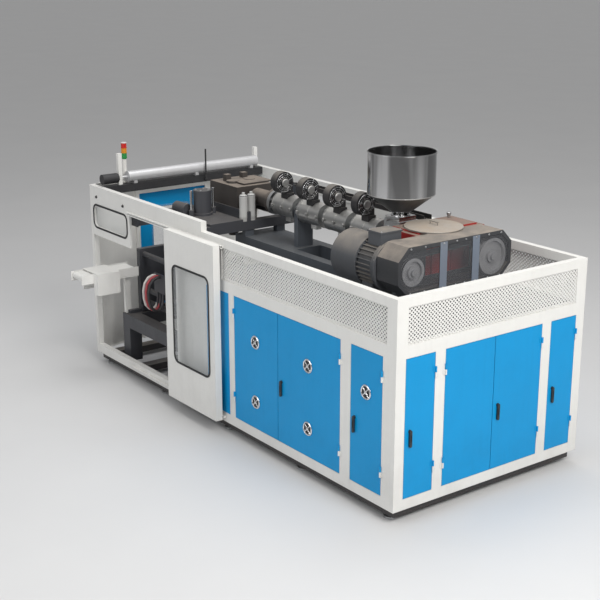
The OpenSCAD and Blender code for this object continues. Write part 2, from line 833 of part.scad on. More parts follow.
// Operator wall: one sheet bent twice, with a folded top edge
wall_half = wall_mid_w / 2;
op_u = op_door_w / 2;
function wall_path(d) = [
  [x_far, -half_w + d], [x_wall + d, -wall_half + 0.13 * d], [x_wall + d, wall_half - 0.13 * d],
  [x_far, half_w - d]];
module wall_2d(d) {
  a = wall_path(0);
  b = wall_path(d);
  polygon([a[0], a[1], a[2], a[3], b[3], b[2], b[1], b[0]]);
}
module operator_wall() color(white) place() {
  difference() {
    translate([0, 0, base_h]) linear_extrude(beam_top - base_h) wall_2d(wall_t);
    translate([x_wall - cut, -op_u, op_door_z]) cube([wall_t + 2 * cut, op_door_w, op_door_h]);
  }
  translate([0, 0, beam_top - wall_t]) linear_extrude(wall_t) wall_2d(45);
  translate([0, 0, base_h]) linear_extrude(wall_t) wall_2d(45);
  on_operator() {
    hinge_on_post(-op_u, op_door_z, op_door_z + op_door_h, -1);
    translate([0, 0, -40]) linear_extrude(40 - wall_t) difference() {
      rect2(-op_u - 40, op_u + 40, op_door_z - 40, op_door_z + op_door_h + 40);
      rect2(-op_u, op_u, op_door_z, op_door_z + op_door_h);
    }
  }
}
op_win_w = op_door_w - 2 * op_margin;
op_win_h = op_door_h - 2 * op_margin;
op_cz = op_door_z + op_door_h / 2;
module operator_door() color(blue) place() on_operator() {
  difference() {
    leaf_pan(-op_u, op_u, op_door_z, op_door_z + op_door_h, [[op_u - handle_in, op_cz - 60]], []);
    translate([0, op_cz, -leaf_d]) linear_extrude(2 * leaf_d) round_rect(op_win_w, op_win_h, pane_r);
  }
  hinge_on_leaf(-op_u, op_door_z, op_door_z + op_door_h, -1);
}
module operator_window() color(clear) place()
  on_operator() translate([0, op_cz, 0]) window_unit(op_win_w, op_win_h, 0, sheet_t);
module operator_handle() color(black) place() on_operator() turning_handle(op_u - handle_in, op_cz - 60);

// Controls on the bent panel
key = 20;
stop_u = panel_w / 2 - 55;
stop_v = panel_z + 62;
stem_r = 11;
module control_panel() color(grey) place() on_bend() difference() {
  union() {
    translate([-panel_w / 2, panel_z, 0]) cube([panel_w, panel_h, panel_t]);
    for (i = [0 : 4], k = [0 : 2])
      translate([-panel_w / 2 + 26 + i * 32, panel_z + 40 + k * 34, panel_t]) cube([key, key, 3]);
  }
  translate([-panel_w / 2 + 26, panel_z + panel_h - 216, panel_t - 3]) cube([panel_w - 52, 190, 3 + cut]);
  translate([stop_u, stop_v, panel_t - 22]) cylinder(r = stem_r + spindle_clear, h = 22 + cut);
}
module stop_button() color(red) place() on_bend() translate([stop_u, stop_v, panel_t]) {
  translate([0, 0, -12]) cylinder(r = stem_r, h = 12 + stop_travel + 4);
  translate([0, 0, stop_travel + 2]) rotate_extrude()
    polygon([[0, 0], [stop_r - 4, 0], [stop_r, 4], [stop_r, 8], [stop_r - 3, 12], [0, 14]]);
}

// Signal tower and top beam
lamp_h = 46;
tower_off = 45;
module signal_tower() color(white) place() translate([top_x - top_half - tower_off, tower_y, 0]) {
  translate([-30, -25, beam_top - 40]) cube([30 + tower_off, 50, 40]);
  translate([0, 0, beam_top]) rotate_extrude() {
    r = lamp_r - 6;
    top = tower_top - beam_top;
    polygon(concat([[0, 0], [r + 8, 0], [r + 8, 8], [r, 14], [r, top - 3 * (lamp_h + 6) - 22]],
      [for (k = [2 : -1 : 0]) each [
        [lamp_r + 2, top - (k + 1) * (lamp_h + 6) - 10], [lamp_r + 2, top - (k + 1) * (lamp_h + 6) - 4],
        [lamp_r, top - (k + 1) * (lamp_h + 6) - 4], [lamp_r, top - k * (lamp_h + 6) - 10]]],
      [[lamp_r + 2, top - 10], [lamp_r + 2, top - 6], [lamp_r - 8, top], [0, top]]));
  }
}
tube_y0 = post_y + 110;
tube_y1 = inner_half - 61;
sensor_y = 226;
module top_beam() color(steel) place() {
  bar(top_x - top_half, top_x + top_half, -inner_half, inner_half, beam_top - 80, beam_top);
  difference() {
    union() {
      along_y(top_x, tube_y0, tube_y1, tube_z, tube_r);
      for (y = [tube_y0 + 60, (tube_y0 + tube_y1) / 2, tube_y1 - 100])
        bar(top_x - 40, top_x + 40, y, y + 40, beam_top, tube_z);
    }
    along_y(top_x, tube_y0 + 30, tube_y1 + cut, tube_z, tube_r - 8);
  }
  // Drive of the tube, flanged to its post, and its stub shaft
  along_y(top_x, post_y, tube_y0 + 10, tube_z, stub_r);
  along_y(top_x, post_y - 16, post_y, tube_z, 44);
  along_y(top_x, post_y - 186, post_y - 16, tube_z, 52);
  // Sensor rod on a bracket of the beam
  bar(top_x + top_half, top_x + top_half + 36, sensor_y - 16, sensor_y + 16, beam_top - 60, beam_top - 40);
  translate([top_x + top_half + 22, sensor_y, beam_top - 60]) cylinder(r = 9, h = 340);
}

// Stand that carries the extruder on the deck
stand_z = deck_z + deck_t;
pad_z = stand_z + stand_beam_h;
hopper_x = from_drive(hopper_from);
gear_x1 = from_drive(gearbox_from);
gear_x0 = gear_x1 - gearbox_l;
motor_x0 = gear_x1 - motor_l - cowl_l;
motor_foot = 26;
feed_z0 = barrel_z - 140;
// The barrel's saddle stands in the gap between two heater covers
saddle_x = from_drive(blower_from + 2.5 * blower_pitch);
// The stand reaches forward to the die head's block and hangs there from the cross beam
head_x = from_drive(head_from);
stand_x0 = head_x + head_l / 2;
cross_x = 400;
module extruder_stand() color(grey) place() {
  for (s = [-1, 1]) translate([0, barrel_y + s * stand_half - stand_beam_w / 2, 0]) {
    bar(stand_x0, gear_x1 + 60, 0, stand_beam_w, stand_z, pad_z);
    bar(head_x + cross_x - 30, head_x + cross_x + 30, 0, stand_beam_w, pad_z, cross_z);
  }
  bar(stand_x0, x_step + 95, barrel_y - stand_half, barrel_y + stand_half, pad_z - 12, pad_z);
  for (x = [x_step + 95, hopper_x - 60, gear_x0 + 40, gear_x1 - 120])
    bar(x, x + 80, barrel_y - stand_half + stand_beam_w / 2, barrel_y + stand_half - stand_beam_w / 2,
      stand_z, pad_z);
  for (s = [-1, 1]) bar(gear_x0 + 20, gear_x1 - 20, barrel_y + s * stand_half - stand_beam_w / 2,
    barrel_y + s * stand_half + stand_beam_w / 2, pad_z, gearbox_z);
  bar(hopper_x - 70, hopper_x + 70, barrel_y - 60, barrel_y + 60, stand_z, feed_z0);
  translate([saddle_x, barrel_y, 0]) difference() {
    bar(-30, 30, -90, 90, stand_z, barrel_z);
    along_x(-40, 40, 0, barrel_z, barrel_r + 0.3);
  }
  bar(motor_x0 + cowl_l + 20, gear_x1 - 60, motor_y - 170, motor_y + 170, stand_z,
    pulley_z - motor_r - motor_foot);
  for (y = [guard_y0 + guard_cut + 20, guard_y1 - guard_cut - 60])
    bar(gear_x1 + 60, gear_x1 + 100, y, y + 40, stand_z, guard_z0);
}

// Extruder: barrel with its front flange and its feed block, and the screw in it
barrel_x0 = gear_x0 - barrel_l;
screw_r = 35;
feed_z1 = barrel_z + 160;
feed_r = 45;
module barrel() color(steel) place() difference() {
  union() {
    along_x(barrel_x0, gear_x0, barrel_y, barrel_z, barrel_r);
    along_x(barrel_x0, barrel_x0 + 40, barrel_y, barrel_z, 125);
    along_x(gear_x0 - 36, gear_x0, barrel_y, barrel_z, 125);
    bar(hopper_x - feed_l / 2, hopper_x + feed_l / 2, barrel_y - 100, barrel_y + 100, feed_z0, feed_z1);
    for (x = [barrel_x0 + 40, gear_x0 - 48], k = [0 : 7])
      translate([x, barrel_y, barrel_z]) rotate([k * 45 + 22.5, 0, 0]) translate([0, 0, 102])
        rotate([0, 90, 0]) cylinder(r = 13, h = 12, $fn = 6);
  }
  along_x(barrel_x0 - cut, gear_x0 + cut, barrel_y, barrel_z, screw_r + shaft_clear);
  translate([hopper_x, barrel_y, barrel_z]) cylinder(r = feed_r, h = feed_z1 - barrel_z + cut);
}
module screw() color(steel) place() {
  along_x(barrel_x0 + 60, gear_x0 + 60, barrel_y, barrel_z, screw_r);
  translate([barrel_x0 + 5, barrel_y, barrel_z]) rotate([0, 90, 0]) cylinder(r1 = 4, r2 = screw_r, h = 55);
}
zone_x = [for (k = [0 : zones - 1]) from_drive(blower_from + k * blower_pitch)];
module heater_covers() color(steel) place() for (x = zone_x) difference() {
  union() {
    along_x(x - cover_l / 2, x + cover_l / 2, barrel_y, barrel_z, cover_r - 3);
    for (d = [-cover_l / 2, -4, cover_l / 2 - 8])
      along_x(x + d, x + d + 8, barrel_y, barrel_z, cover_r);
    bar(x - 40, x + 40, barrel_y - 30, barrel_y + 30, barrel_z - cover_r - 34, barrel_z - 80);
  }
  along_x(x - cover_l, x + cover_l, barrel_y, barrel_z, barrel_r + 0.3);
}
blower_y = barrel_y - blower_side;
blower_z = barrel_z + blower_up;
module blower() {
  difference() {
    union() {
      along_x(-blower_w / 2, blower_w / 2, blower_y, blower_z, blower_r);
      bar(-blower_w / 2 + 8, blower_w / 2 - 8, blower_y + blower_r - 74, blower_y + blower_r,
        barrel_z, blower_z);
      bar(-blower_w / 2 - 6, blower_w / 2 + 6, blower_y + blower_r - 80, blower_y + blower_r + 6,
        barrel_z, barrel_z + cover_r + 22);
    }
    along_x(blower_w / 2 - 30, blower_w / 2 + cut, blower_y, blower_z, blower_r - 22);
    along_x(-blower_w, blower_w, barrel_y, barrel_z, cover_r + 0.3);
  }
  along_x(blower_w / 2 - 30, blower_w / 2 + 14, blower_y, blower_z, 42);
  for (k = [0 : 2]) translate([blower_w / 2 - 14, blower_y, blower_z]) rotate([k * 60, 0, 0])
    translate([0, -blower_r + 20, -5]) cube([8, 2 * blower_r - 40, 10]);
  along_x(-blower_w / 2 - 60, -blower_w / 2, blower_y, blower_z, 55);
}
module blowers() color(black) place() for (x = zone_x) translate([x, 0, 0]) blower();

// Tray beside the barrel with the conduits of the heating zones
tray_y = barrel_y + 175;
tray_z = 2070;
tray_x0 = barrel_x0 + 70;
tray_x1 = gear_x0 - 20;
module cable_tray() color(black) place() {
  bar(tray_x0, tray_x1, tray_y, tray_y + 90, tray_z, tray_z + 3);
  for (y = [tray_y, tray_y + 87]) bar(tray_x0, tray_x1, y, y + 3, tray_z, tray_z + 45);
  for (x = [tray_x0 + 60, (tray_x0 + tray_x1) / 2, tray_x1 - 100])
    bar(x, x + 40, tray_y + 30, tray_y + 50, pad_z, tray_z);
  for (k = [0 : 3]) along_x(tray_x0 - 30, tray_x1 - 30 * k, tray_y + 14 + 20.5 * k, tray_z + 13, 10);
}

// Drive
gear_y1 = gearbox_y + gearbox_w;
rib = 14;
module gearbox() color(red) place() difference() {
  union() {
    bar(gear_x0 + rib, gear_x1 - rib, gearbox_y + rib, gear_y1 - rib, gearbox_z, drive_top - 14);
    bar(gear_x0, gear_x1, gearbox_y, gear_y1, gearbox_z, gearbox_z + 28);
    bar(gear_x0, gear_x1, gearbox_y, gear_y1, pulley_z + 40, pulley_z + 72);
    bar(gear_x0 + 60, gear_x1 - 60, gearbox_y + 60, gear_y1 - 60, drive_top - 14, drive_top);
    for (x = [gear_x0 + 90, gear_x1 - 110])
      bar(x, x + 20, gearbox_y, gear_y1, gearbox_z, drive_top - 40);
    for (y = [gearbox_y + 160, gear_y1 - 400])
      bar(gear_x0, gear_x1, y, y + 20, gearbox_z, drive_top - 40);
    along_x(gear_x1 - 20, gear_x1, big_pulley_y, pulley_z, 95);
    along_x(gear_x0, gear_x0 + 20, barrel_y, barrel_z, 150);
  }
  along_x(gear_x1 - 90, gear_x1 + cut, big_pulley_y, pulley_z, shaft_r + shaft_clear);
  along_x(gear_x0 - cut, gear_x0 + 75, barrel_y, barrel_z, screw_r + shaft_clear);
}
motor_x1 = gear_x1;
fin_t = 6;
module motor_2d() union() {
  circle(motor_r - 22);
  for (k = [0 : motor_fins - 1]) rotate(k * 360 / motor_fins + 180 / motor_fins)
    translate([motor_r - 30, -fin_t / 2]) square([30, fin_t]);
}
module drive_motor() color(grey) place() difference() {
  union() {
    translate([motor_x0 + cowl_l, motor_y, pulley_z]) rotate([90, 0, 90])
      linear_extrude(motor_l - 50) motor_2d();
    along_x(motor_x0 + 10, motor_x0 + cowl_l, motor_y, pulley_z, motor_r + 8);
    along_x(motor_x0, motor_x0 + 10, motor_y, pulley_z, motor_r - 14);
    along_x(motor_x1 - 60, motor_x1 - 20, motor_y, pulley_z, motor_r + 2);
    along_x(motor_x1 - 20, motor_x1, motor_y, pulley_z, motor_r + 14);
    bar(motor_x0 + cowl_l + 40, motor_x1 - 45, motor_y - 105, motor_y + 105, pulley_z + motor_r - 40,
      pulley_z + motor_r + 66);
    bar(motor_x0 + cowl_l + 32, motor_x1 - 37, motor_y - 113, motor_y + 113, pulley_z + motor_r + 66,
      pulley_z + motor_r + 80);
    for (y = [motor_y - 160, motor_y + 90])
      bar(motor_x0 + cowl_l + 40, motor_x1 - 80, y, y + 70, pulley_z - motor_r - motor_foot,
        pulley_z - motor_r + 70);
  }
  along_x(motor_x1 - 90, motor_x1 + cut, motor_y, pulley_z, shaft_r + shaft_clear);
}
// Outline with cut corners, moved inwards by t
module guard_2d(t) {
  c = guard_cut - (2 - sqrt(2)) * t;
  y0 = guard_y0 + t;
  y1 = guard_y1 - t;
  z0 = guard_z0 + t;
  z1 = drive_top - t;
  polygon([[y0 + c, z0], [y1 - c, z0], [y1, z0 + c], [y1, z1 - c], [y1 - c, z1], [y0 + c, z1],
    [y0, z1 - c], [y0, z0 + c]]);
}
guard_x0 = gear_x1 + 10;
guard_x1 = guard_x0 + guard_d;
strap_y = [-262, 96];
module facing_end(x, t) translate([x, 0, 0]) rotate([90, 0, 90]) linear_extrude(t) children();
module belt_guard() color(grey) place() {
  difference() {
    facing_end(guard_x0, guard_d) guard_2d(0);
    facing_end(guard_x0 + guard_t, guard_d - 2 * guard_t) guard_2d(guard_t);
    facing_end(guard_x1 - 2 * guard_t, 3 * guard_t) difference() {
      guard_2d(guard_rim);
      for (y = strap_y) rect2(y, y + strap_w, guard_z0, drive_top);
    }
    facing_end(guard_x0 - cut, guard_t + 2 * cut)
      rect2(gearbox_y + 80, big_pulley_y - 60, guard_z0 + 50, drive_top - 50);
    along_x(guard_x0 - cut, guard_x0 + 2 * guard_t, big_pulley_y, pulley_z, shaft_r + 12);
    along_x(guard_x0 - cut, guard_x0 + 2 * guard_t, motor_y, pulley_z, shaft_r + 12);
  }
  for (y = [guard_y0 + 190, gearbox_y + 22, gear_y1 - 60])
    bar(gear_x1, guard_x0, y, y + 50, pulley_z + 78, pulley_z + 118);
}
module guard_window() color(clear) place() facing_end(guard_x1 - guard_t - 4.2, 4) guard_2d(guard_rim - 14);
pulley_x0 = guard_x0 + guard_d / 2 - 20;
groove_w = 14;
groove_deep = 9;
module pulley(y, r) {
  pitch = pulley_w / grooves;
  translate([pulley_x0, y, pulley_z]) rotate([0, 90, 0]) difference() {
    union() {
      cylinder(r = r, h = pulley_w);
      translate([0, 0, gear_x1 - 80 - pulley_x0])
        cylinder(r = shaft_r, h = pulley_x0 + pulley_w + 20 - gear_x1 + 80);
    }
    for (k = [0 : grooves - 1]) translate([0, 0, (k + 0.5) * pitch - groove_w / 2]) difference() {
      cylinder(r = r + cut, h = groove_w);
      translate([0, 0, -cut]) cylinder(r = r - groove_deep, h = groove_w + 2 * cut);
    }
    for (s = [-1, 1]) translate([0, 0, s > 0 ? pulley_w - 24 : -24]) difference() {
      cylinder(r = r - 26, h = 48);
      translate([0, 0, -cut]) cylinder(r = shaft_r + 24, h = 48 + 2 * cut);
    }
  }
}
module gearbox_pulley() color(dark) place() pulley(big_pulley_y, big_pulley_r);
module motor_pulley() color(dark) place() pulley(motor_y, small_pulley_r);
// Outline of a belt over both pulleys: two circles and the straight runs, a hair inside the tangents
belt_dip = 0.15;
module belt_2d(add) {
  d = big_pulley_y - motor_y;
  ra = small_pulley_r - groove_deep + add;
  rb = big_pulley_r - groove_deep + add;
  a = asin((rb - ra) / d);
  n = [-sin(a), cos(a)];
  pa = (ra - belt_dip) * n;
  pb = (rb - belt_dip) * n;
  circle(ra);
  translate([d, 0]) circle(rb);
  polygon([[pa[0], pa[1]], [d + pb[0], pb[1]], [d + pb[0], -pb[1]], [pa[0], -pa[1]]]);
}
module drive_belts() color(black) place() for (k = [0 : grooves - 1])
  translate([pulley_x0 + (k + 0.5) * pulley_w / grooves - groove_w / 2 + belt_clear, motor_y, pulley_z])
    rotate([90, 0, 90]) linear_extrude(groove_w - 2 * belt_clear) difference() {
      belt_2d(belt_clear + belt_t);
      belt_2d(belt_clear);
    }

// Hopper with its gate, and the lid that lies on guard and gearbox
gate_z0 = feed_z1;
gate_h = 40;
cone_z0 = gate_z0 + gate_h;
cone_z1 = cone_z0 + hopper_cone_h;
hopper_top = cone_z1 + hopper_wall_h;
blade_w = 124;
blade_z = gate_z0 + gate_h / 2 - gate_t / 2;
module hopper() color(steel) place() translate([hopper_x, barrel_y, 0]) {
  rotate_extrude() polygon([[outlet_r, cone_z0], [outlet_r + hopper_t + 26, cone_z0],
    [outlet_r + hopper_t + 26, cone_z0 + 8], [outlet_r + hopper_t + 2, cone_z0 + 8], [hopper_r, cone_z1],
    [hopper_r, hopper_top - 10], [hopper_r + 7, hopper_top - 10], [hopper_r + 7, hopper_top],
    [hopper_r - hopper_t, hopper_top], [hopper_r - hopper_t, cone_z1 + 1], [outlet_r, cone_z0 + 4]]);
  difference() {
    translate([-90, -95, gate_z0]) cube([180, 190, gate_h]);
    translate([0, 0, gate_z0 - cut]) cylinder(r = outlet_r, h = gate_h + 2 * cut);
    translate([-blade_w / 2 - gate_clear, -95 - cut, blade_z - gate_clear])
      cube([blade_w + 2 * gate_clear, 95 + cut + outlet_r + 8, gate_t + 2 * gate_clear]);
  }
}
module slide_gate() color(steel) place() translate([hopper_x, barrel_y, blade_z]) {
  out = gate_travel + 5;
  translate([-blade_w / 2, -out, 0]) cube([blade_w, out + outlet_r + 6, gate_t]);
  translate([-12, -out - 16, -6]) cube([24, 16, gate_t + 12]);
  translate([0, -out - 40, gate_t / 2]) rotate([-90, 0, 0]) cylinder(r = 15, h = 25);
}
lid_x = from_drive(lid_from);
module hopper_lid() color(steel) place() translate([lid_x, lid_y, drive_top]) {
  rotate_extrude() polygon([[0, 20], [lid_r - 50, 12], [lid_r - 4, 0], [lid_r, 0], [lid_r, 12],
    [lid_r - 3, 15], [lid_r - 44, 16], [0, 24]]);
  for (s = [-1, 1]) translate([s * 45, 0, 18]) cylinder(r = 5, h = 34);
  along_x(-50, 50, 0, 50, 6);
}

// Die head: block on its cradle, adapter to the barrel, dies with heater bands, cylinders on top
head_z0 = barrel_z - head_h / 2;
cover_t = 12;
die_ys = [for (k = [0 : dies - 1]) (k - (dies - 1) / 2) * die_pitch];
module die_head() color(dark) place() {
  difference() {
    union() {
      bar(head_x - head_l / 2, head_x + head_l / 2, barrel_y - head_w / 2, barrel_y + head_w / 2,
        head_z0, head_z0 + head_h);
      along_x(head_x + head_l / 2, barrel_x0 - 40, barrel_y, barrel_z, 62);
      along_x(barrel_x0 - 40, barrel_x0, barrel_y, barrel_z, 125);
      along_x(head_x + head_l / 2 + 40, barrel_x0 - 80, barrel_y, barrel_z, 84);
    }
    along_x(head_x, barrel_x0 + cut, barrel_y, barrel_z, 30);
  }
  for (y = die_ys) translate([head_x, barrel_y + y, 0]) {
    difference() {
      union() {
        translate([0, 0, head_z0 - die_l + 40]) cylinder(r = die_r - 12, h = die_l - 40);
        for (k = [0 : 2]) translate([0, 0, head_z0 - 100 - 92 * k]) cylinder(r = die_r, h = 84);
        translate([0, 0, head_z0 - die_l]) cylinder(r1 = 44, r2 = 60, h = 41);
      }
      translate([0, 0, head_z0 - die_l - cut]) cylinder(r = 26, h = 60);
    }
    translate([0, 0, head_z0 + head_h]) cylinder(r = 40, h = head_top - head_z0 - head_h - cover_t);
    translate([0, 0, head_z0 + head_h]) cylinder(r = 62, h = 22);
    translate([-130, -30, head_z0 + head_h]) cube([60, 60, 70]);
  }
  bar(head_x - 135, head_x + 195, barrel_y - 95, barrel_y + 250, head_top - cover_t, head_top);
}

// Mould clamp: bed with its rails, carriage, platens and mould halves
mould_z = 1050;
bed_x = yoke_out + yoke_t + 40;
bed_y = 930;
rail_x = yoke_out + yoke_t / 2;
module clamp_bed() color(grey) place() translate([head_x, 0, 0]) {
  difference() {
    bar(-bed_x, bed_x, -bed_y, bed_y, bed_z - bed_beam, bed_z);
    bar(-bed_x + bed_beam, bed_x - bed_beam, -bed_y + bed_beam, bed_y - bed_beam, base_h, bed_z + cut);
  }
  for (sx = [-1, 1], sy = [-1, 1]) translate([sx * (bed_x - bed_beam / 2), sy * (bed_y - bed_beam / 2), 0])
    translate([-bed_beam / 2, -bed_beam / 2, base_h]) cube([bed_beam, bed_beam, bed_z - bed_beam - base_h]);
  for (s = [-1, 1]) bar(s * rail_x - rail_w / 2, s * rail_x + rail_w / 2, -bed_y + 40, bed_y - 40,
    bed_z, bed_z + rail_h);
}
carriage_z0 = bed_z + rail_h + 46;
yoke_z1 = mould_z + platen_h / 2;
tie_y = platen_w / 2 - tie_in;
tie_z = platen_h / 2 - tie_in;
rod_clear = 0.05;
bore_end = yoke_out + rod_reach + stroke + 8;
module tie_bars(r, x) for (sy = [-1, 1], sz = [-1, 1]) along_x(-x, x, sy * tie_y, mould_z + sz * tie_z, r);
module mould_carriage() color(grey) place() translate([head_x, station_y, 0]) {
  for (s = [0, 1]) mirror([s, 0, 0]) {
    difference() {
      union() {
        bar(yoke_out, yoke_out + yoke_t, -platen_w / 2, platen_w / 2, carriage_z0, yoke_z1);
        along_x(yoke_out + yoke_t, bore_end + 10, 0, mould_z, ram_r);
        along_x(yoke_out + yoke_t, yoke_out + yoke_t + 20, 0, mould_z, ram_r + 30);
        for (y = [-platen_w / 2 + 10, platen_w / 2 - 170])
          bar(rail_x - 45, rail_x + 45, y, y + 160, bed_z + 8, carriage_z0);
      }
      bar(rail_x - rail_w / 2 - runner_clear, rail_x + rail_w / 2 + runner_clear, -platen_w, platen_w,
        bed_z, bed_z + rail_h + runner_clear);
      along_x(0, bore_end, 0, mould_z, ram_rod_r + rod_clear);
    }
    for (sy = [-1, 1], sz = [-1, 1])
      translate([yoke_out + yoke_t, sy * tie_y, mould_z + sz * tie_z]) rotate([0, 90, 0])
        cylinder(r = tie_r + 18, h = 30, $fn = 6);
  }
  tie_bars(tie_r, yoke_out + yoke_t + 40);
  for (s = [-1, 1]) bar(-yoke_out, yoke_out, s * (tie_y - 20) - 30, s * (tie_y - 20) + 30,
    carriage_z0, carriage_z0 + 35);
}
module platen() difference() {
  union() {
    bar(mould_t, mould_t + platen_t, -platen_w / 2, platen_w / 2, mould_z - platen_h / 2,
      mould_z + platen_h / 2);
    along_x(mould_t + platen_t, yoke_out + rod_reach, 0, mould_z, ram_rod_r);
    along_x(mould_t + platen_t, mould_t + platen_t + 24, 0, mould_z, ram_rod_r + 26);
    for (z = [mould_z - 150, mould_z + 110])
      bar(mould_t + platen_t, mould_t + platen_t + 50, -platen_w / 2 + 110, platen_w / 2 - 110, z, z + 40);
  }
  tie_bars(tie_r + tie_clear, yoke_out);
}
split_gap = 0.3;
neck_h = 34;
module bottle() rotate_extrude() polygon([[0, 0], [bottle_r - 14, 0], [bottle_r, 10], [bottle_r, 96],
  [bottle_r - 4, 102], [bottle_r - 4, 128], [bottle_r, 134], [bottle_r, bottle_h - 46],
  [bottle_r - 18, bottle_h - 14], [neck_r, bottle_h], [neck_r, bottle_h + neck_h + cut],
  [0, bottle_h + neck_h + cut]]);
module mould() difference() {
  bar(split_gap / 2, mould_t, -mould_w / 2, mould_w / 2, mould_z - mould_h / 2, mould_z + mould_h / 2);
  for (y = die_ys) translate([0, y, mould_z + mould_h / 2 - bottle_h - neck_h]) bottle();
  for (y = [-mould_w / 2 - cut, mould_w / 2 - 20],
    z = [mould_z - mould_h / 2 + 60, mould_z + mould_h / 2 - 90])
    bar(mould_t - 46, mould_t - 22, y, y + 20 + cut, z, z + 30);
}
module front_platen() color(grey) place() translate([head_x, station_y, 0]) mirror([1, 0, 0]) platen();
module rear_platen() color(grey) place() translate([head_x, station_y, 0]) platen();
module front_mould() color(steel) place() translate([head_x, station_y, 0]) mirror([1, 0, 0]) mould();
module rear_mould() color(steel) place() translate([head_x, station_y, 0]) mould();

// Round hose along a list of points
hose_r = 15;
hose_sides = 10;
function unit(v) = v / norm(v);
function hose_dir(p, i) = unit(p[min(i + 1, len(p) - 1)] - p[max(i - 1, 0)]);
module hose(p, r) {
  n = len(p);
  rings = [for (i = [0 : n - 1], k = [0 : hose_sides - 1])
    let (d = hose_dir(p, i), a = [1, 0, 0], b = cross(d, a), t = k * 360 / hose_sides)
      p[i] + r * cos(t) * a + r * sin(t) * unit(b)];
  polyhedron(rings, concat([[for (k = [0 : hose_sides - 1]) k]],
    [[for (k = [hose_sides - 1 : -1 : 0]) (n - 1) * hose_sides + k]],
    [for (i = [0 : n - 2], k = [0 : hose_sides - 1]) let (m = (k + 1) % hose_sides)
      [i * hose_sides + k, (i + 1) * hose_sides + k, (i + 1) * hose_sides + m, i * hose_sides + m]]));
}
// Points of a hose, from the plate's front round to its back, with heights from the mould's middle
hose_path = [[0, -18, 50], [0, -55, 54], [0, -105, 35], [0, -145, -15], [0, -163, -90], [0, -160, -170],
  [0, -140, -245], [0, -100, -290], [0, -55, -300], [0, -18, -270], [0, 4, -210], [0, 12, -115]];
hose_pitch = 50;
module mould_hoses() color(black) place() translate([head_x, station_y - platen_w / 2, mould_z]) {
  x0 = -mould_t - platen_t - 180;
  bar(x0, -mould_t, -20, 0, -120, 75);
  bar(x0, -mould_t - platen_t - 2, 0, 40, -120, 0);
  for (k = [0 : 2]) translate([x0 + 30 + k * hose_pitch, 0, 0]) hose(hose_path, hose_r);
}

// Blow station over the clamp's outer place, with the cradle of the die head
blow_rod_r = 20;
guide_rod_r = 14;
guide_y = 128;
module blow_station() color(grey) place() translate([head_x, 0, 0]) {
  z1 = cross_z + cross_beam;
  for (s = [-1, 1]) {
    bar(s * cross_x - cross_beam / 2, s * cross_x + cross_beam / 2, -inner_half, inner_half, cross_z, z1);
    for (y = [-inner_half, inner_half - 15])
      bar(s * cross_x - 80, s * cross_x + 80, y, y + 15, cross_z, beam_z0 + 70);
    bar(-cross_x - cross_beam / 2, cross_x + cross_beam / 2, barrel_y + s * (head_w / 2 - 5) - 20,
      barrel_y + s * (head_w / 2 - 5) + 20, z1, head_z0);
  }
  difference() {
    union() {
      bar(-cross_x - cross_beam / 2, cross_x + cross_beam / 2, station_y - 190, station_y + 190, z1, z1 + 24);
      translate([0, station_y, z1 + 24]) cylinder(r = blow_r, h = 250);
      translate([0, station_y, z1 + 24]) cylinder(r = blow_r + 14, h = 24);
      along_x(-260, -50, station_y - 140, z1 + 78, 58);
      for (x = [-240, -100]) bar(x, x + 30, station_y - 180, station_y - 100, z1 + 20, z1 + 50);
      for (y = [-195, -103]) translate([cross_x, y, z1 - 2]) cylinder(r = 40, h = 257);
      for (s = [-1, 1]) translate([0, station_y + s * guide_y, z1 + 24]) cylinder(r = 28, h = 60);
    }
    translate([0, station_y, z1 - cut]) cylinder(r = blow_rod_r + rod_clear, h = 250);
    for (s = [-1, 1]) translate([0, station_y + s * guide_y, z1 - cut])
      cylinder(r = guide_rod_r + rod_clear, h = 86 + cut);
  }
}
pin_z = 1400;
rod_up = cross_z + cross_beam - pin_z - pin_l;
module blow_pins() color(steel) place() translate([head_x, station_y, pin_z]) {
  for (y = die_ys) translate([0, y, 0]) {
    cylinder(r = pin_r, h = pin_l);
    translate([0, 0, pin_l - 60]) cylinder(r = pin_r + 10, h = 60);
  }
  translate([-60, -160, pin_l]) cube([120, 320, 36]);
  translate([0, 0, pin_l]) cylinder(r = blow_rod_r, h = rod_up + 45 + pin_travel);
  for (s = [-1, 1]) translate([0, s * guide_y, pin_l])
    cylinder(r = guide_rod_r, h = rod_up + 110 + pin_travel);
}

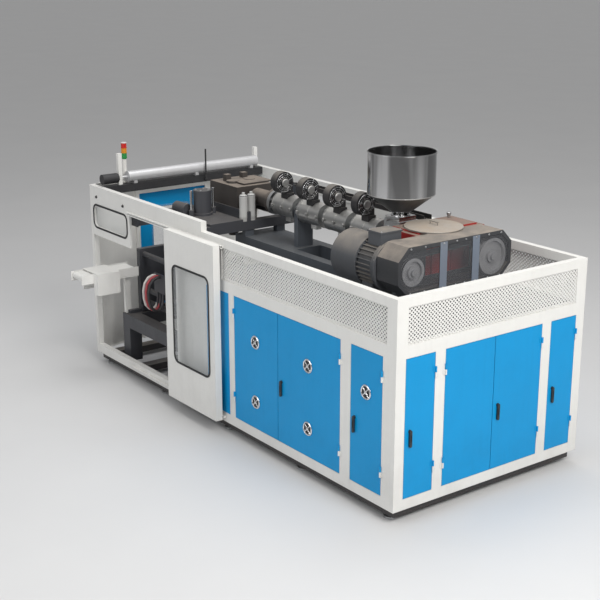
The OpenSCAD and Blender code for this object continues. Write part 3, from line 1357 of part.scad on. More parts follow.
// Conveyor that carries the bottles out under the small window
conv_x = x_far + conv_from_far;
box_y0 = -half_w - 266;
box_y1 = -half_w - 12;
box_z0 = conv_z - 207;
box_z1 = conv_z + 18;
module conveyor() color(white) place() translate([conv_x, 0, 0]) {
  z = conv_z - conv_roll_r;
  for (s = [-1, 1]) bar(s * conv_w / 2 - (s > 0 ? 8 : 0), s * conv_w / 2 + (s > 0 ? 0 : 8),
    -conv_out, -conv_in, conv_z - conv_side_h + 8, conv_z + 8);
  bar(-conv_w / 2 + 20, conv_w / 2 - 20, -conv_out + 12 + conv_roll_r, -conv_in - 12 - conv_roll_r,
    z - conv_roll_r, conv_z);
  for (y = [-conv_out + 12 + conv_roll_r, -conv_in - 12 - conv_roll_r]) {
    along_x(-conv_w / 2 + 20, conv_w / 2 - 20, y, z, conv_roll_r);
    along_x(-conv_w / 2, conv_w / 2, y, z, 12);
  }
  for (y = [-conv_out + 180, -conv_in - 180]) bar(-conv_w / 2, conv_w / 2, y, y + 40, z - conv_roll_r - 8, z);
  // Drive box and its cover
  bar(conv_w / 2, conv_w / 2 + 90, box_y0, box_y1, box_z0, box_z1);
  bar(-conv_w / 2, -conv_w / 2 + 8, box_y0, box_y1, box_z0, box_z1);
  bar(-conv_w / 2, conv_w / 2 + 90, box_y0, box_y1, box_z1 - 8, box_z1);
  // Post on the clamp's bed, beside the rail, and the plate from its head to the side rails
  post_x0 = head_x - bed_x - conv_x;
  post_x1 = head_x - rail_x - rail_w / 2 - 3 - conv_x;
  bar(post_x0, post_x1, -910, -850, bed_z, z - conv_roll_r);
  bar(min(-conv_w / 2, post_x0), max(conv_w / 2, post_x1), -920, -840, z - conv_roll_r - 8, z - conv_roll_r);
}

// Hydraulic unit in the cabinet
tank_x = from_drive(tank_from);
module hydraulic_unit() color(grey) place() translate([tank_x, 0, 0]) {
  bar(0, tank_l, -930, -330, base_h, 560);
  bar(-12, tank_l + 12, -942, -318, 560, 574);
  along_x(120, 420, -700, 730, 120);
  along_x(420, 460, -700, 730, 90);
  along_x(460, 600, -700, 730, 62);
  for (x = [150, 350]) bar(x, x + 60, -790, -610, 574, 640);
  bar(640, 820, -640, -420, 574, 760);
  for (x = [680, 730, 780]) translate([x, -530, 760]) cylinder(r = 18, h = 90);
  translate([200, -440, 574]) cylinder(r = 60, h = 130);
  along_x(600, 660, -560, 700, 14);
}

base_frame();
levelling_feet();
cabinet_frame();
clamp_frame();
extruder_deck();
extruder_stand();
perforated_panels();
fixed_side_panels();
operator_wall();
end_door_left();
end_door_right();
end_narrow_door_left();
end_narrow_door_right();
side_door_near();
side_door_far();
side_narrow_door();
end_door_handle();
end_narrow_handle_left();
end_narrow_handle_right();
side_door_handle();
side_narrow_handle();
left_sliding_door();
left_sliding_window();
right_sliding_door();
right_sliding_window();
fixed_windows();
operator_door();
operator_window();
operator_handle();
control_panel();
stop_button();
signal_tower();
top_beam();
barrel();
heater_covers();
blowers();
cable_tray();
gearbox();
drive_motor();
belt_guard();
guard_window();
gearbox_pulley();
motor_pulley();
drive_belts();
hopper();
hopper_lid();
slide_gate();
die_head();
clamp_bed();
mould_carriage();
front_platen();
rear_platen();
front_mould();
rear_mould();
blow_station();
blow_pins();
conveyor();
mould_hoses();
hydraulic_unit();
screw();
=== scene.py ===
"""Looks of the blow moulding machine: finishes, fittings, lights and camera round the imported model."""

import logging
import math
from contextlib import contextmanager
from dataclasses import dataclass, field
from enum import Enum
from typing import Callable, Iterator, Mapping, Sequence

import bpy
from mathutils import Matrix, Quaternion, Vector


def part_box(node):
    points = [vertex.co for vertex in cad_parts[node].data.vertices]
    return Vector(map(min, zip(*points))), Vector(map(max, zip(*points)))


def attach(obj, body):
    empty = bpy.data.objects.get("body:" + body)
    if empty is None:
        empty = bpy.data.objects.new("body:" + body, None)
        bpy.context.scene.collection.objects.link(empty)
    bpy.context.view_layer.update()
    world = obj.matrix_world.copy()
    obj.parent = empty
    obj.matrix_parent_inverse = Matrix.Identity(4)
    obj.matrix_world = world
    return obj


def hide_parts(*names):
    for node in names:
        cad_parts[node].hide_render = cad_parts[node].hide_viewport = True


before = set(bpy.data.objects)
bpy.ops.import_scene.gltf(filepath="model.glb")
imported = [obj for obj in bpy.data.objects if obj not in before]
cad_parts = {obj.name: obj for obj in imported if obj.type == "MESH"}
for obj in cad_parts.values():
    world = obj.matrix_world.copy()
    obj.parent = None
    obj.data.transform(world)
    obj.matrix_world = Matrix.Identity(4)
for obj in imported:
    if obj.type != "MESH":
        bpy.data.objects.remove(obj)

log = logging.getLogger("blow_moulding_machine")

Point = tuple[float, float, float]
Colour = tuple[float, float, float]
Place = tuple[float, float]
Piece = bpy.types.Object
Material = bpy.types.Material
Tree = bpy.types.NodeTree
Node = bpy.types.Node
Socket = bpy.types.NodeSocket
Sockets = Mapping[str, Socket]

CASING = "machine_frame"
LEFT_SIDE, RIGHT_SIDE = (corner.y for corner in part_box("operator_wall"))
MIDLINE = (LEFT_SIDE + RIGHT_SIDE) / 2
HALF_WIDTH = (RIGHT_SIDE - LEFT_SIDE) / 2
DRIVE_END = 2.51
UP = (0.0, 0.0, 1.0)
ALONG = (1.0, 0.0, 0.0)
SAME_POINT = 0.00002

# The four blowers stand over the four heater covers
STATIONS = tuple(0.891 - 0.406 * index for index in range(4))
BARREL_Y = MIDLINE + 0.046
BARREL_Z = 1.93


class Face(Enum):
    """The upright faces of the machine, by the direction in which each looks out."""

    DRIVE = (1.0, 0.0)
    LEFT = (0.0, -1.0)
    RIGHT = (0.0, 1.0)
    OPERATOR = (-1.0, 0.0)

    def matrix(self) -> Matrix:
        """Work out the place of this face.

        Returns:
            The move that lays a drawing (x right, y up, z outwards) on it.
        """
        up = Vector(UP)
        turn = Matrix((up.cross(self.out), up, self.out)).transposed().to_4x4()
        if self in (Face.LEFT, Face.RIGHT):
            place = Vector((0.0, MIDLINE + self.value[1] * HALF_WIDTH, 0.0))
        else:
            place = Vector((self.value[0] * DRIVE_END, MIDLINE, 0.0))
        return Matrix.Translation(place) @ turn

    @property
    def out(self) -> Vector:
        """Return the direction in which this face looks."""
        return Vector((*self.value, 0.0))

    def point(self, along: float, up: float, depth: float = 0.0) -> Vector:
        """Return the place of a point of this face's drawing."""
        return self.matrix() @ Vector((along, up, depth))

    def drawn(self, x: float) -> float:
        """Return where a place along the machine lies in the drawing of a long side."""
        return -self.value[1] * x


SIDES = {"left": Face.LEFT, "right": Face.RIGHT}


# Mesh work


def deselect() -> None:
    """Leave edit mode and deselect every object."""
    if bpy.context.object and bpy.context.object.mode != "OBJECT":
        bpy.ops.object.mode_set(mode="OBJECT")
    bpy.ops.object.select_all(action="DESELECT")


def activate(piece: Piece) -> None:
    """Make one object the only selected and active one.

    Args:
        piece: The object to work on.
    """
    deselect()
    piece.select_set(True)
    bpy.context.view_layer.objects.active = piece


@contextmanager
def editing(piece: Piece) -> Iterator[None]:
    """Run a block in edit mode on one object.

    Args:
        piece: The object to edit.
    """
    activate(piece)
    bpy.ops.object.mode_set(mode="EDIT")
    yield
    bpy.ops.object.mode_set(mode="OBJECT")


def pick_all() -> None:
    """Select the whole mesh, in edit mode."""
    bpy.ops.mesh.select_all(action="SELECT")


def turn_outwards() -> None:
    """Turn every face of the mesh outwards, in edit mode."""
    pick_all()
    bpy.ops.mesh.normals_make_consistent(inside=False)


def pull(way: Vector) -> None:
    """Extrude the selection by a step, in edit mode."""
    bpy.ops.mesh.extrude_region_move(TRANSFORM_OT_translate={"value": way})


def facing(axis: Point) -> Quaternion:
    """Return the turn that brings Z to an axis."""
    return Vector(axis).to_track_quat("Z", "Y")


def pick_faces(piece: Piece, test: Callable[[Vector, Vector], bool]) -> None:
    """Select faces by place and normal, ready for the next edit.

    Args:
        piece: The object, in object mode.
        test: Says from a face's centre and normal whether it is picked.
    """
    activate(piece)
    bpy.ops.object.mode_set(mode="EDIT")
    bpy.ops.mesh.select_mode(type="FACE")
    bpy.ops.mesh.select_all(action="DESELECT")
    bpy.ops.object.mode_set(mode="OBJECT")
    for polygon in piece.data.polygons:
        polygon.select = test(polygon.center, polygon.normal)


def apply_modifiers(piece: Piece) -> None:
    """Apply every modifier of an object.

    Args:
        piece: The object to finish.
    """
    activate(piece)
    for modifier in list(piece.modifiers):
        bpy.ops.object.modifier_apply(modifier=modifier.name)


def settle(piece: Piece, angle: float = 0.6) -> Piece:
    """Put an object's place into its mesh and smooth its soft edges.

    Args:
        piece: The object to settle.
        angle: Edges flatter than this, in radians, are shaded smooth.

    Returns:
        The same object, at the origin.
    """
    activate(piece)
    bpy.ops.object.transform_apply(location=True, rotation=True, scale=True)
    bpy.ops.object.shade_smooth_by_angle(angle=angle)
    return piece


def soften(piece: Piece, width: float, segments: int = 2) -> None:
    """Round the sharp edges of a piece with a bevel.

    Args:
        piece: The object to round.
        width: Width of the bevel in metres.
        segments: Steps across the bevel.
    """
    bevel = piece.modifiers.new("soft edges", "BEVEL")
    bevel.width = width
    bevel.segments = segments
    bevel.limit_method = "ANGLE"
    bevel.angle_limit = 0.7
    apply_modifiers(piece)


def primitive(name: str, add: Callable[..., object], **settings: object) -> Piece:
    """Add a primitive under its own name, with nothing else selected.

    Args:
        name: Name of the piece.
        add: Blender's operator for the primitive.
        settings: The operator's settings.

    Returns:
        The new object.
    """
    deselect()
    add(**settings)
    piece = bpy.context.object
    piece.name = name
    return piece


def block(name: str, low: Point, high: Point, edge: float = 0.002) -> Piece:
    """Model a block with rounded edges.

    Args:
        name: Name of the piece.
        low: Lowest corner.
        high: Highest corner.
        edge: Width of its rounded edges.

    Returns:
        The block, with its place in its mesh.
    """
    a, b = Vector(low), Vector(high)
    piece = primitive(name, bpy.ops.mesh.primitive_cube_add, size=1.0, location=(a + b) / 2)
    piece.scale = b - a
    settle(piece)
    if edge > 0:
        soften(piece, edge)
    return settle(piece)


def rod(name: str, start: Point, end: Point, radius: float, sides: int = 32, edge: float = 0.0) -> Piece:
    """Model a round bar between two points.

    Args:
        name: Name of the piece.
        start: Centre of one end.
        end: Centre of the other end.
        radius: Radius in metres.
        sides: Sides of the circle.
        edge: Width of the rounded end edges, if any.

    Returns:
        The bar, with its place in its mesh.
    """
    a, b = Vector(start), Vector(end)
    piece = primitive(name, bpy.ops.mesh.primitive_cylinder_add, vertices=sides, radius=radius,
                      depth=(b - a).length, location=(a + b) / 2, rotation=facing(b - a).to_euler())
    settle(piece)
    if edge > 0:
        soften(piece, edge)
    return settle(piece)


def turned(name: str, profile: Sequence[Place], centre: Point, axis: Point, steps: int = 48) -> Piece:
    """Model a turned piece by spinning a profile round an axis.

    Args:
        name: Name of the piece.
        profile: Pairs of radius and height along the axis; the first and last may lie on the axis.
        centre: Where height 0 lies.
        axis: Direction of the axis.
        steps: Steps round the full turn.

    Returns:
        The turned piece, closed and with its normals outwards.
    """
    piece = primitive(name, bpy.ops.mesh.primitive_plane_add, size=0.01)
    places = [Vector((radius, 0.0, height)) for radius, height in profile]
    with editing(piece):
        pick_all()
        bpy.ops.mesh.merge(type="CENTER")
        bpy.ops.mesh.select_mode(type="VERT")
        pick_all()
        bpy.ops.transform.translate(value=places[0])
        for here, there in zip(places, places[1:]):
            pull(there - here)
        pick_all()
        bpy.ops.mesh.spin(steps=steps, angle=2 * math.pi, center=(0, 0, 0), axis=(0, 0, 1))
        pick_all()
        bpy.ops.mesh.remove_doubles(threshold=SAME_POINT)
        turn_outwards()
    piece.matrix_world = Matrix.Translation(Vector(centre)) @ facing(axis).to_matrix().to_4x4()
    return settle(piece)


def copied(piece: Piece, move: Matrix) -> Piece:
    """Copy a piece with its own mesh and move the copy.

    Args:
        piece: The piece to copy.
        move: The move to apply to the copy's mesh.

    Returns:
        The copy.
    """
    activate(piece)
    bpy.ops.object.duplicate(linked=False)
    twin = bpy.context.object
    twin.matrix_world = move
    return settle(twin)


def joined(name: str, pieces: Sequence[Piece]) -> Piece:
    """Join pieces into one object.

    Args:
        name: Name of the result.
        pieces: The pieces to join.

    Returns:
        The joined piece.
    """
    deselect()
    for piece in pieces:
        piece.select_set(True)
    bpy.context.view_layer.objects.active = pieces[0]
    if len(pieces) > 1:
        bpy.ops.object.join()
    result = bpy.context.object
    result.name = name
    return settle(result)


def hex_bolt(name: str, place: Point, out: Point, size: float) -> Piece:
    """Model a hexagon bolt head on its washer.

    Args:
        name: Name of the piece.
        place: Centre of the seat.
        out: Direction in which the head stands out.
        size: Width of the head over its corners.

    Returns:
        The bolt head and washer as one piece.
    """
    seat, way = Vector(place), Vector(out).normalized()
    washer = rod(name, seat - way * 0.001, seat + way * size * 0.12, size * 0.62, 20)
    head = rod(name, seat + way * size * 0.1, seat + way * size * 0.5, size * 0.5, 6, size * 0.05)
    return joined(name, [washer, head])


def wire_ring(name: str, centre: Point, axis: Point, radius: float, wire: float, steps: int = 56) -> Piece:
    """Model a ring of wire.

    Args:
        name: Name of the piece.
        centre: Its middle.
        axis: The direction that it stands across.
        radius: Radius to the wire's middle.
        wire: Radius of the wire.
        steps: Steps round the ring.

    Returns:
        The ring.
    """
    piece = primitive(name, bpy.ops.mesh.primitive_torus_add, location=centre,
                      rotation=facing(axis).to_euler(), major_radius=radius, minor_radius=wire,
                      major_segments=steps, minor_segments=8)
    return settle(piece)


def around(centre: Point, axis: Point, radius: float, count: int, turn: float = 0.5) -> list[Point]:
    """Return places evenly round an axis.

    Args:
        centre: Middle of the circle.
        axis: The circle's axis.
        radius: Radius of the circle.
        count: Number of places.
        turn: Where the first one lies, in shares of a step.

    Returns:
        The places in order.
    """
    level = facing(axis).to_matrix()
    angles = [2 * math.pi * (index + turn) / count for index in range(count)]
    return [tuple(Vector(centre) + level @ Vector((radius * math.cos(a), radius * math.sin(a), 0.0)))
            for a in angles]


def bolts(name: str, places: Sequence[Point], out: Point, size: float) -> Piece:
    """Model equal bolt heads as one piece.

    Args:
        name: Name of the piece.
        places: Centres of the seats.
        out: Direction in which the heads stand out.
        size: Width of a head over its corners.

    Returns:
        The bolt heads.
    """
    first = hex_bolt(name, (0.0, 0.0, 0.0), out, size)
    heads = [copied(first, Matrix.Translation(Vector(place))) for place in places[1:]]
    first.matrix_world = Matrix.Translation(Vector(places[0]))
    return joined(name, [settle(first), *heads])


def fit(piece: Piece, material: Material, body: str = CASING,
        nodes: Sequence[str] = ()) -> Piece:
    """Give a piece its finish and let it ride on a body.

    Args:
        piece: The finished piece.
        material: Its material.
        body: The body that carries it.
        nodes: The CAD nodes that it stands for.

    Returns:
        The same piece.
    """
    piece.data.materials.clear()
    piece.data.materials.append(material)
    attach(piece, body)
    if nodes:
        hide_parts(*nodes)
    log.info("%s: %d faces on %s", piece.name, len(piece.data.polygons), body)
    return piece


# Shader work

# Nearly all values of a noise lie between these two
SPREAD = (0.3, 0.7)
NODE_STEP = 180
OIL = (0.10, 0.085, 0.07)


@dataclass
class Wiring:
    """Adds shader nodes to a tree and links them."""

    tree: Tree
    column: int = 0

    def add(self, kind: str, **settings: object) -> Node:
        """Add a node.

        Args:
            kind: The node's type name.
            settings: Properties or input values to set; an underscore stands for a space in an input's name.

        Returns:
            The new node.
        """
        node = self.tree.nodes.new(kind)
        node.location = (self.column * NODE_STEP, 0)
        self.column += 1
        for key, value in settings.items():
            if hasattr(node, key):
                setattr(node, key, value)
            else:
                node.inputs[key.replace("_", " ")].default_value = value
        return node

    def effect(self, tree: Tree, **values: float) -> Sockets:
        """Place a shared effect with its own input values and return its outputs."""
        return self.add("ShaderNodeGroup", node_tree=tree, **values).outputs

    def link(self, source: Socket, target: Socket) -> None:
        """Link two sockets."""
        self.tree.links.new(source, target)

    def feed(self, target: Socket, value: object) -> None:
        """Link a socket, or set its value where it gets a number.

        Args:
            target: The input to feed.
            value: A socket or a number.
        """
        if isinstance(value, Socket):
            self.link(value, target)
        else:
            target.default_value = value

    def maths(self, operation: str, a: object, b: object = 0.0, clamp: bool = False) -> Socket:
        """Work out a value from two others.

        Args:
            operation: Name of the operation.
            a: First value, a number or a socket.
            b: Second value.
            clamp: Whether the result is kept from 0 to 1.

        Returns:
            The result.
        """
        node = self.add("ShaderNodeMath", operation=operation, use_clamp=clamp)
        self.feed(node.inputs[0], a)
        self.feed(node.inputs[1], b)
        return node.outputs[0]

    def times(self, a: object, b: object, clamp: bool = False) -> Socket:
        """Return a product."""
        return self.maths("MULTIPLY", a, b, clamp)

    def plus(self, a: object, b: object, clamp: bool = False) -> Socket:
        """Return a sum."""
        return self.maths("ADD", a, b, clamp)

    def minus(self, a: object, b: object, clamp: bool = False) -> Socket:
        """Return a difference."""
        return self.maths("SUBTRACT", a, b, clamp)

    def ramp(self, value: object, low: float, high: float, to_low: float = 0.0,
             to_high: float = 1.0) -> Socket:
        """Move a value from one range to another and keep it inside the second.

        Args:
            value: The value.
            low: Start of its range.
            high: End of its range.
            to_low: What the start becomes.
            to_high: What the end becomes.

        Returns:
            The moved value.
        """
        node = self.add("ShaderNodeMapRange", clamp=True)
        for index, number in enumerate((value, low, high, to_low, to_high)):
            self.feed(node.inputs[index], number)
        return node.outputs[0]

    def blend(self, share: object, a: object, b: object) -> Socket:
        """Mix two colours.

        Args:
            share: How much of the second one shows.
            a: First colour, or a socket.
            b: Second colour, or a socket.

        Returns:
            The mixed colour.
        """
        node = self.add("ShaderNodeMix", data_type="RGBA")
        self.feed(node.inputs[0], share)
        for socket, value in ((node.inputs[6], a), (node.inputs[7], b)):
            self.feed(socket, value if isinstance(value, Socket) else (*value, 1.0))
        return node.outputs[2]

    def place(self) -> Socket:
        """Return the piece's own coordinates."""
        return self.add("ShaderNodeTexCoord").outputs["Object"]

    def parts(self, vector: Socket) -> Sockets:
        """Return the X, Y and Z of a vector.

        Args:
            vector: The vector.

        Returns:
            Its parts by name.
        """
        node = self.add("ShaderNodeSeparateXYZ")
        self.link(vector, node.inputs[0])
        return node.outputs

    def noise(self, vector: Socket, scale: object, detail: float = 4.0, roughness: float = 0.55) -> Socket:
        """Return the value of a noise.

        Args:
            vector: Coordinates that it is read at.
            scale: Its scale, a number or a socket.
            detail: Its finer layers.
            roughness: How much those layers count.

        Returns:
            The value, about 0.5 in the middle.
        """
        node = self.add("ShaderNodeTexNoise", Detail=detail, Roughness=roughness)
        self.feed(node.inputs["Scale"], scale)
        self.link(vector, node.inputs["Vector"])
        return node.outputs["Fac"]

    def stretched(self, vector: Socket, scale: Point) -> Socket:
        """Stretch coordinates.

        Args:
            vector: The coordinates.
            scale: Factor along each axis.

        Returns:
            The stretched coordinates.
        """
        node = self.add("ShaderNodeMapping", Scale=scale)
        self.link(vector, node.inputs["Vector"])
        return node.outputs["Vector"]

    def put_out(self, **values: Socket) -> None:
        """Link values to the outputs of a node group.

        Args:
            values: A socket for each output's name.
        """
        result = self.add("NodeGroupOutput")
        for key, value in values.items():
            self.link(value, result.inputs[key])


def effect_group(name: str, inputs: dict[str, float], *outputs: str) -> tuple[Tree, Wiring, Sockets]:
    """Start a shader node group with float inputs.

    Args:
        name: Name of the group.
        inputs: Input names and their usual values.
        outputs: Output names; the one called Normal is a vector.

    Returns:
        The group, the wiring for its inside and the values that it is given.
    """
    tree = bpy.data.node_groups.new(name, "ShaderNodeTree")
    for key, value in inputs.items():
        socket = tree.interface.new_socket(key, in_out="INPUT", socket_type="NodeSocketFloat")
        socket.default_value = value
    for key in outputs:
        kind = "NodeSocketVector" if key == "Normal" else "NodeSocketFloat"
        tree.interface.new_socket(key, in_out="OUTPUT", socket_type=kind)
    w = Wiring(tree)
    return tree, w, w.add("NodeGroupInput").outputs


def grime_group() -> Tree:
    """Make handling dirt: soft patches, runs downwards, and more of it near the floor.

    Returns:
        The node group.
    """
    tree, w, given = effect_group("grime", {"Amount": 0.3, "Near floor": 0.4, "Size": 1.0}, "Mask", "Fine")
    place = w.place()
    patches = w.ramp(w.noise(place, w.times(given["Size"], 2.6), 6.0, 0.62), 0.42, 0.78)
    runs = w.ramp(w.noise(w.stretched(place, (16.0, 16.0, 0.9)), 1.4, 4.0), 0.52, 0.8)
    low = w.times(w.ramp(w.parts(place)["Z"], 0.05, 0.75, 1.0, 0.0), given["Near floor"])
    total = w.times(w.plus(w.times(patches, 0.7), w.times(runs, 0.45)), given["Amount"])
    total = w.plus(total, w.times(low, w.ramp(patches, 0.0, 1.0, 0.35, 1.0)), clamp=True)
    w.put_out(Mask=total, Fine=w.noise(place, 90.0, 3.0))
    return tree


def edge_group() -> Tree:
    """Make worn edges: a mask where edges lie, and a normal that rounds them.

    Returns:
        The node group.
    """
    tree, w, given = effect_group("worn edges", {"Radius": 0.004, "Amount": 0.5}, "Mask", "Normal")
    bevel = w.add("ShaderNodeBevel", samples=4)
    w.link(given["Radius"], bevel.inputs["Radius"])
    dot = w.add("ShaderNodeVectorMath", operation="DOT_PRODUCT")
    w.link(bevel.outputs["Normal"], dot.inputs[0])
    w.link(w.add("ShaderNodeNewGeometry").outputs["Normal"], dot.inputs[1])
    edge = w.ramp(w.minus(1.0, dot.outputs["Value"]), 0.02, 0.2)
    patches = w.ramp(w.noise(w.place(), 24.0, 5.0, 0.7), 0.45, 0.62)
    mask = w.times(w.times(edge, patches), given["Amount"], clamp=True)
    w.put_out(Mask=mask, Normal=bevel.outputs["Normal"])
    return tree


def dust_group() -> Tree:
    """Make dust that lies on faces that look up.

    Returns:
        The node group.
    """
    tree, w, given = effect_group("settled dust", {"Amount": 0.5}, "Mask")
    up = w.ramp(w.parts(w.add("ShaderNodeNewGeometry").outputs["Normal"])["Z"], 0.25, 0.85)
    cover = w.ramp(w.noise(w.place(), 5.0, 7.0, 0.68), 0.3, 0.65, 0.35, 1.0)
    w.put_out(Mask=w.times(w.times(up, cover), given["Amount"], clamp=True))
    return tree


def brushing_group() -> Tree:
    """Make fine grinding lines that run level round a piece, and broad clouds.

    Returns:
        The node group.
    """
    tree, w, given = effect_group("grinding lines", {"Fineness": 260.0}, "Value", "Cloud")
    place = w.place()
    lines = w.noise(w.stretched(place, (0.03, 0.03, 1.0)), given["Fineness"], 3.0)
    w.put_out(Value=lines, Cloud=w.noise(place, 3.5, 5.0))
    return tree


@dataclass(frozen=True)
class Effects:
    """The effects that several finishes share, each a node group built once."""

    grime: Tree = field(default_factory=grime_group)
    edges: Tree = field(default_factory=edge_group)
    dust: Tree = field(default_factory=dust_group)
    brushing: Tree = field(default_factory=brushing_group)


EFFECTS = Effects()


def new_material(name: str) -> tuple[Material, Wiring, Sockets]:
    """Start a material.

    Args:
        name: Name of the material.

    Returns:
        The material, its wiring and the inputs of its Principled shader.
    """
    material = bpy.data.materials.new(name)
    material.use_nodes = True
    tree = material.node_tree
    return material, Wiring(tree), tree.nodes["Principled BSDF"].inputs


def toned(colour: Colour, share: float, lift: float = 0.0) -> Colour:
    """Return a darker or lighter tone of a colour."""
    return tuple(min(1.0, part * share + lift) for part in colour)


def relief(w: Wiring, into: Sockets, height: Socket, normal: Socket, strength: float,
           distance: float) -> None:
    """Give a surface its fine relief on top of its rounded edges.

    Args:
        w: The material's wiring.
        into: The shader's inputs.
        height: Height of the relief.
        normal: Normal of the rounded edges.
        strength: Strength of the relief.
        distance: Its depth in metres.
    """
    bump = w.add("ShaderNodeBump", Strength=strength, Distance=distance)
    w.link(height, bump.inputs["Height"])
    w.link(normal, bump.inputs["Normal"])
    w.link(bump.outputs["Normal"], into["Normal"])


@dataclass(frozen=True)
class Paint:
    """Enamel on sheet steel, with dirt, dust and rubbed edges."""

    name: str
    colour: Colour
    roughness: float = 0.36
    dirt: Colour = (0.22, 0.19, 0.16)
    dirt_amount: float = 0.22
    near_floor: float = 0.35
    dust: float = 0.0
    dust_colour: Colour = (0.42, 0.38, 0.33)
    wear: float = 0.25
    bare: Colour = (0.30, 0.30, 0.31)
    coat: float = 0.15
    coat_roughness: float = 0.2
    specular: float = 0.45

    def material(self) -> Material:
        """Make the material of this paint.

        Returns:
            The material.
        """
        material, w, into = new_material(self.name)
        grime = w.effect(EFFECTS.grime, Amount=self.dirt_amount, Near_floor=self.near_floor)
        edges = w.effect(EFFECTS.edges, Amount=self.wear)
        dust = w.effect(EFFECTS.dust, Amount=self.dust)["Mask"]
        colour = w.blend(w.ramp(grime["Fine"], *SPREAD, 0.0, 0.12), self.colour, toned(self.colour, 0.86))
        colour = w.blend(w.times(grime["Mask"], 0.55), colour, self.dirt)
        colour = w.blend(edges["Mask"], colour, self.bare)
        w.link(w.blend(dust, colour, self.dust_colour), into["Base Color"])
        rough = w.plus(w.ramp(grime["Fine"], *SPREAD, self.roughness - 0.04, self.roughness + 0.06),
                       w.times(grime["Mask"], 0.3))
        w.link(w.plus(rough, w.times(dust, 0.45), clamp=True), into["Roughness"])
        into["Coat Weight"].default_value = self.coat
        into["Coat Roughness"].default_value = self.coat_roughness
        into["Specular IOR Level"].default_value = self.specular
        relief(w, into, grime["Fine"], edges["Normal"], 0.06, 0.0006)
        return material


@dataclass(frozen=True)
class Metal:
    """Bare metal: ground, turned or cast, with its lines, clouds, oil and dust, and, where asked, upright
    dark bands of painted reflection.
    """

    name: str
    colour: Colour
    roughness: float = 0.3
    lines: float = 0.1
    grain: float = 0.0
    oil: float = 0.1
    dust: float = 0.0
    dust_colour: Colour = (0.40, 0.36, 0.31)
    metallic: float = 1.0
    # Share of painted reflection: upright dark bands in the base colour
    painted_reflection_bands: float = 0.0

    def material(self) -> Material:
        """Make the material of this metal.

        Returns:
            The material.
        """
        material, w, into = new_material(self.name)
        brushed = w.effect(EFFECTS.brushing)
        grime = w.effect(EFFECTS.grime, Amount=self.oil, Near_floor=0.0, Size=2.0)
        edges = w.effect(EFFECTS.edges, Amount=0.35, Radius=0.002)
        dust = w.effect(EFFECTS.dust, Amount=self.dust)["Mask"]
        colour = w.blend(w.ramp(brushed["Cloud"], *SPREAD, 0.0, 0.5), self.colour, toned(self.colour, 0.82))
        # Painted reflection: upright dark bands in the base colour stand in for what a mirror-bright sheet
        # reflects
        upright = w.noise(w.stretched(w.place(), (5.5, 5.5, 0.3)), 1.0, 2.0)
        colour = w.blend(w.ramp(upright, 0.44, 0.58, 0.0, self.painted_reflection_bands), colour, toned(self.colour, 0.14))
        colour = w.blend(w.times(grime["Mask"], 0.6), colour, OIL)
        colour = w.blend(edges["Mask"], colour, toned(self.colour, 1.35, 0.06))
        w.link(w.blend(dust, colour, self.dust_colour), into["Base Color"])
        half = self.lines / 2
        rough = w.ramp(brushed["Value"], *SPREAD, self.roughness - half, self.roughness + half)
        rough = w.plus(rough, w.times(grime["Mask"], 0.25), clamp=True)
        w.link(w.plus(rough, w.times(dust, 0.5), clamp=True), into["Roughness"])
        into["Metallic"].default_value = self.metallic
        if self.dust > 0:
            w.link(w.minus(self.metallic, w.times(dust, 0.9), clamp=True), into["Metallic"])
        height = grime["Fine"] if self.grain > 0 else brushed["Value"]
        relief(w, into, height, edges["Normal"], 0.08 + self.grain, 0.0008)
        return material


@dataclass(frozen=True)
class Polymer:
    """Rubber or plastic, with scuffs and a fine grain."""

    name: str
    colour: Colour
    roughness: float = 0.55
    scuff: float = 0.3

    def material(self) -> Material:
        """Make the material of this polymer.

        Returns:
            The material.
        """
        material, w, into = new_material(self.name)
        grime = w.effect(EFFECTS.grime, Amount=self.scuff, Near_floor=0.0, Size=3.0)
        edges = w.effect(EFFECTS.edges, Amount=0.3, Radius=0.0015)
        lighter = toned(self.colour, 1.6, 0.03)
        colour = w.blend(w.times(grime["Mask"], 0.5), self.colour, lighter)
        w.link(w.blend(edges["Mask"], colour, lighter), into["Base Color"])
        rough = w.ramp(grime["Fine"], *SPREAD, self.roughness - 0.08, self.roughness + 0.08)
        w.link(rough, into["Roughness"])
        relief(w, into, grime["Fine"], edges["Normal"], 0.12, 0.0005)
        return material


@dataclass(frozen=True)
class ClearSheet:
    """A clear plastic pane with a faint tint, haze and smears, that mirrors more at a flat angle."""

    name: str
    colour: Colour
    haze: float = 0.16
    roughness: float = 0.08
    mirror: float = 0.8
    ior: float = 1.45

    def material(self) -> Material:
        """Make the material of this pane.

        Returns:
            The material.
        """
        material, w, into = new_material(self.name)
        smears = w.effect(EFFECTS.grime, Amount=0.5, Near_floor=0.0, Size=1.5)["Mask"]
        w.link(w.blend(w.times(smears, 0.35), self.colour, toned(self.colour, 0.7)), into["Base Color"])
        w.link(w.ramp(smears, 0.0, 1.0, self.roughness, self.roughness + 0.25), into["Roughness"])
        flat = w.add("ShaderNodeFresnel", IOR=self.ior).outputs["Fac"]
        back = w.add("ShaderNodeNewGeometry").outputs["Backfacing"]
        front = w.minus(self.mirror, w.times(back, self.mirror))
        cover = w.plus(w.times(flat, front), w.times(smears, 0.12))
        w.link(w.plus(cover, self.haze, clamp=True), into["Alpha"])
        return material


@dataclass(frozen=True)
class Tone:
    """Colour, roughness and metallic share of a stretch of a piece."""

    colour: Colour
    roughness: float = 0.4
    metallic: float = 0.0


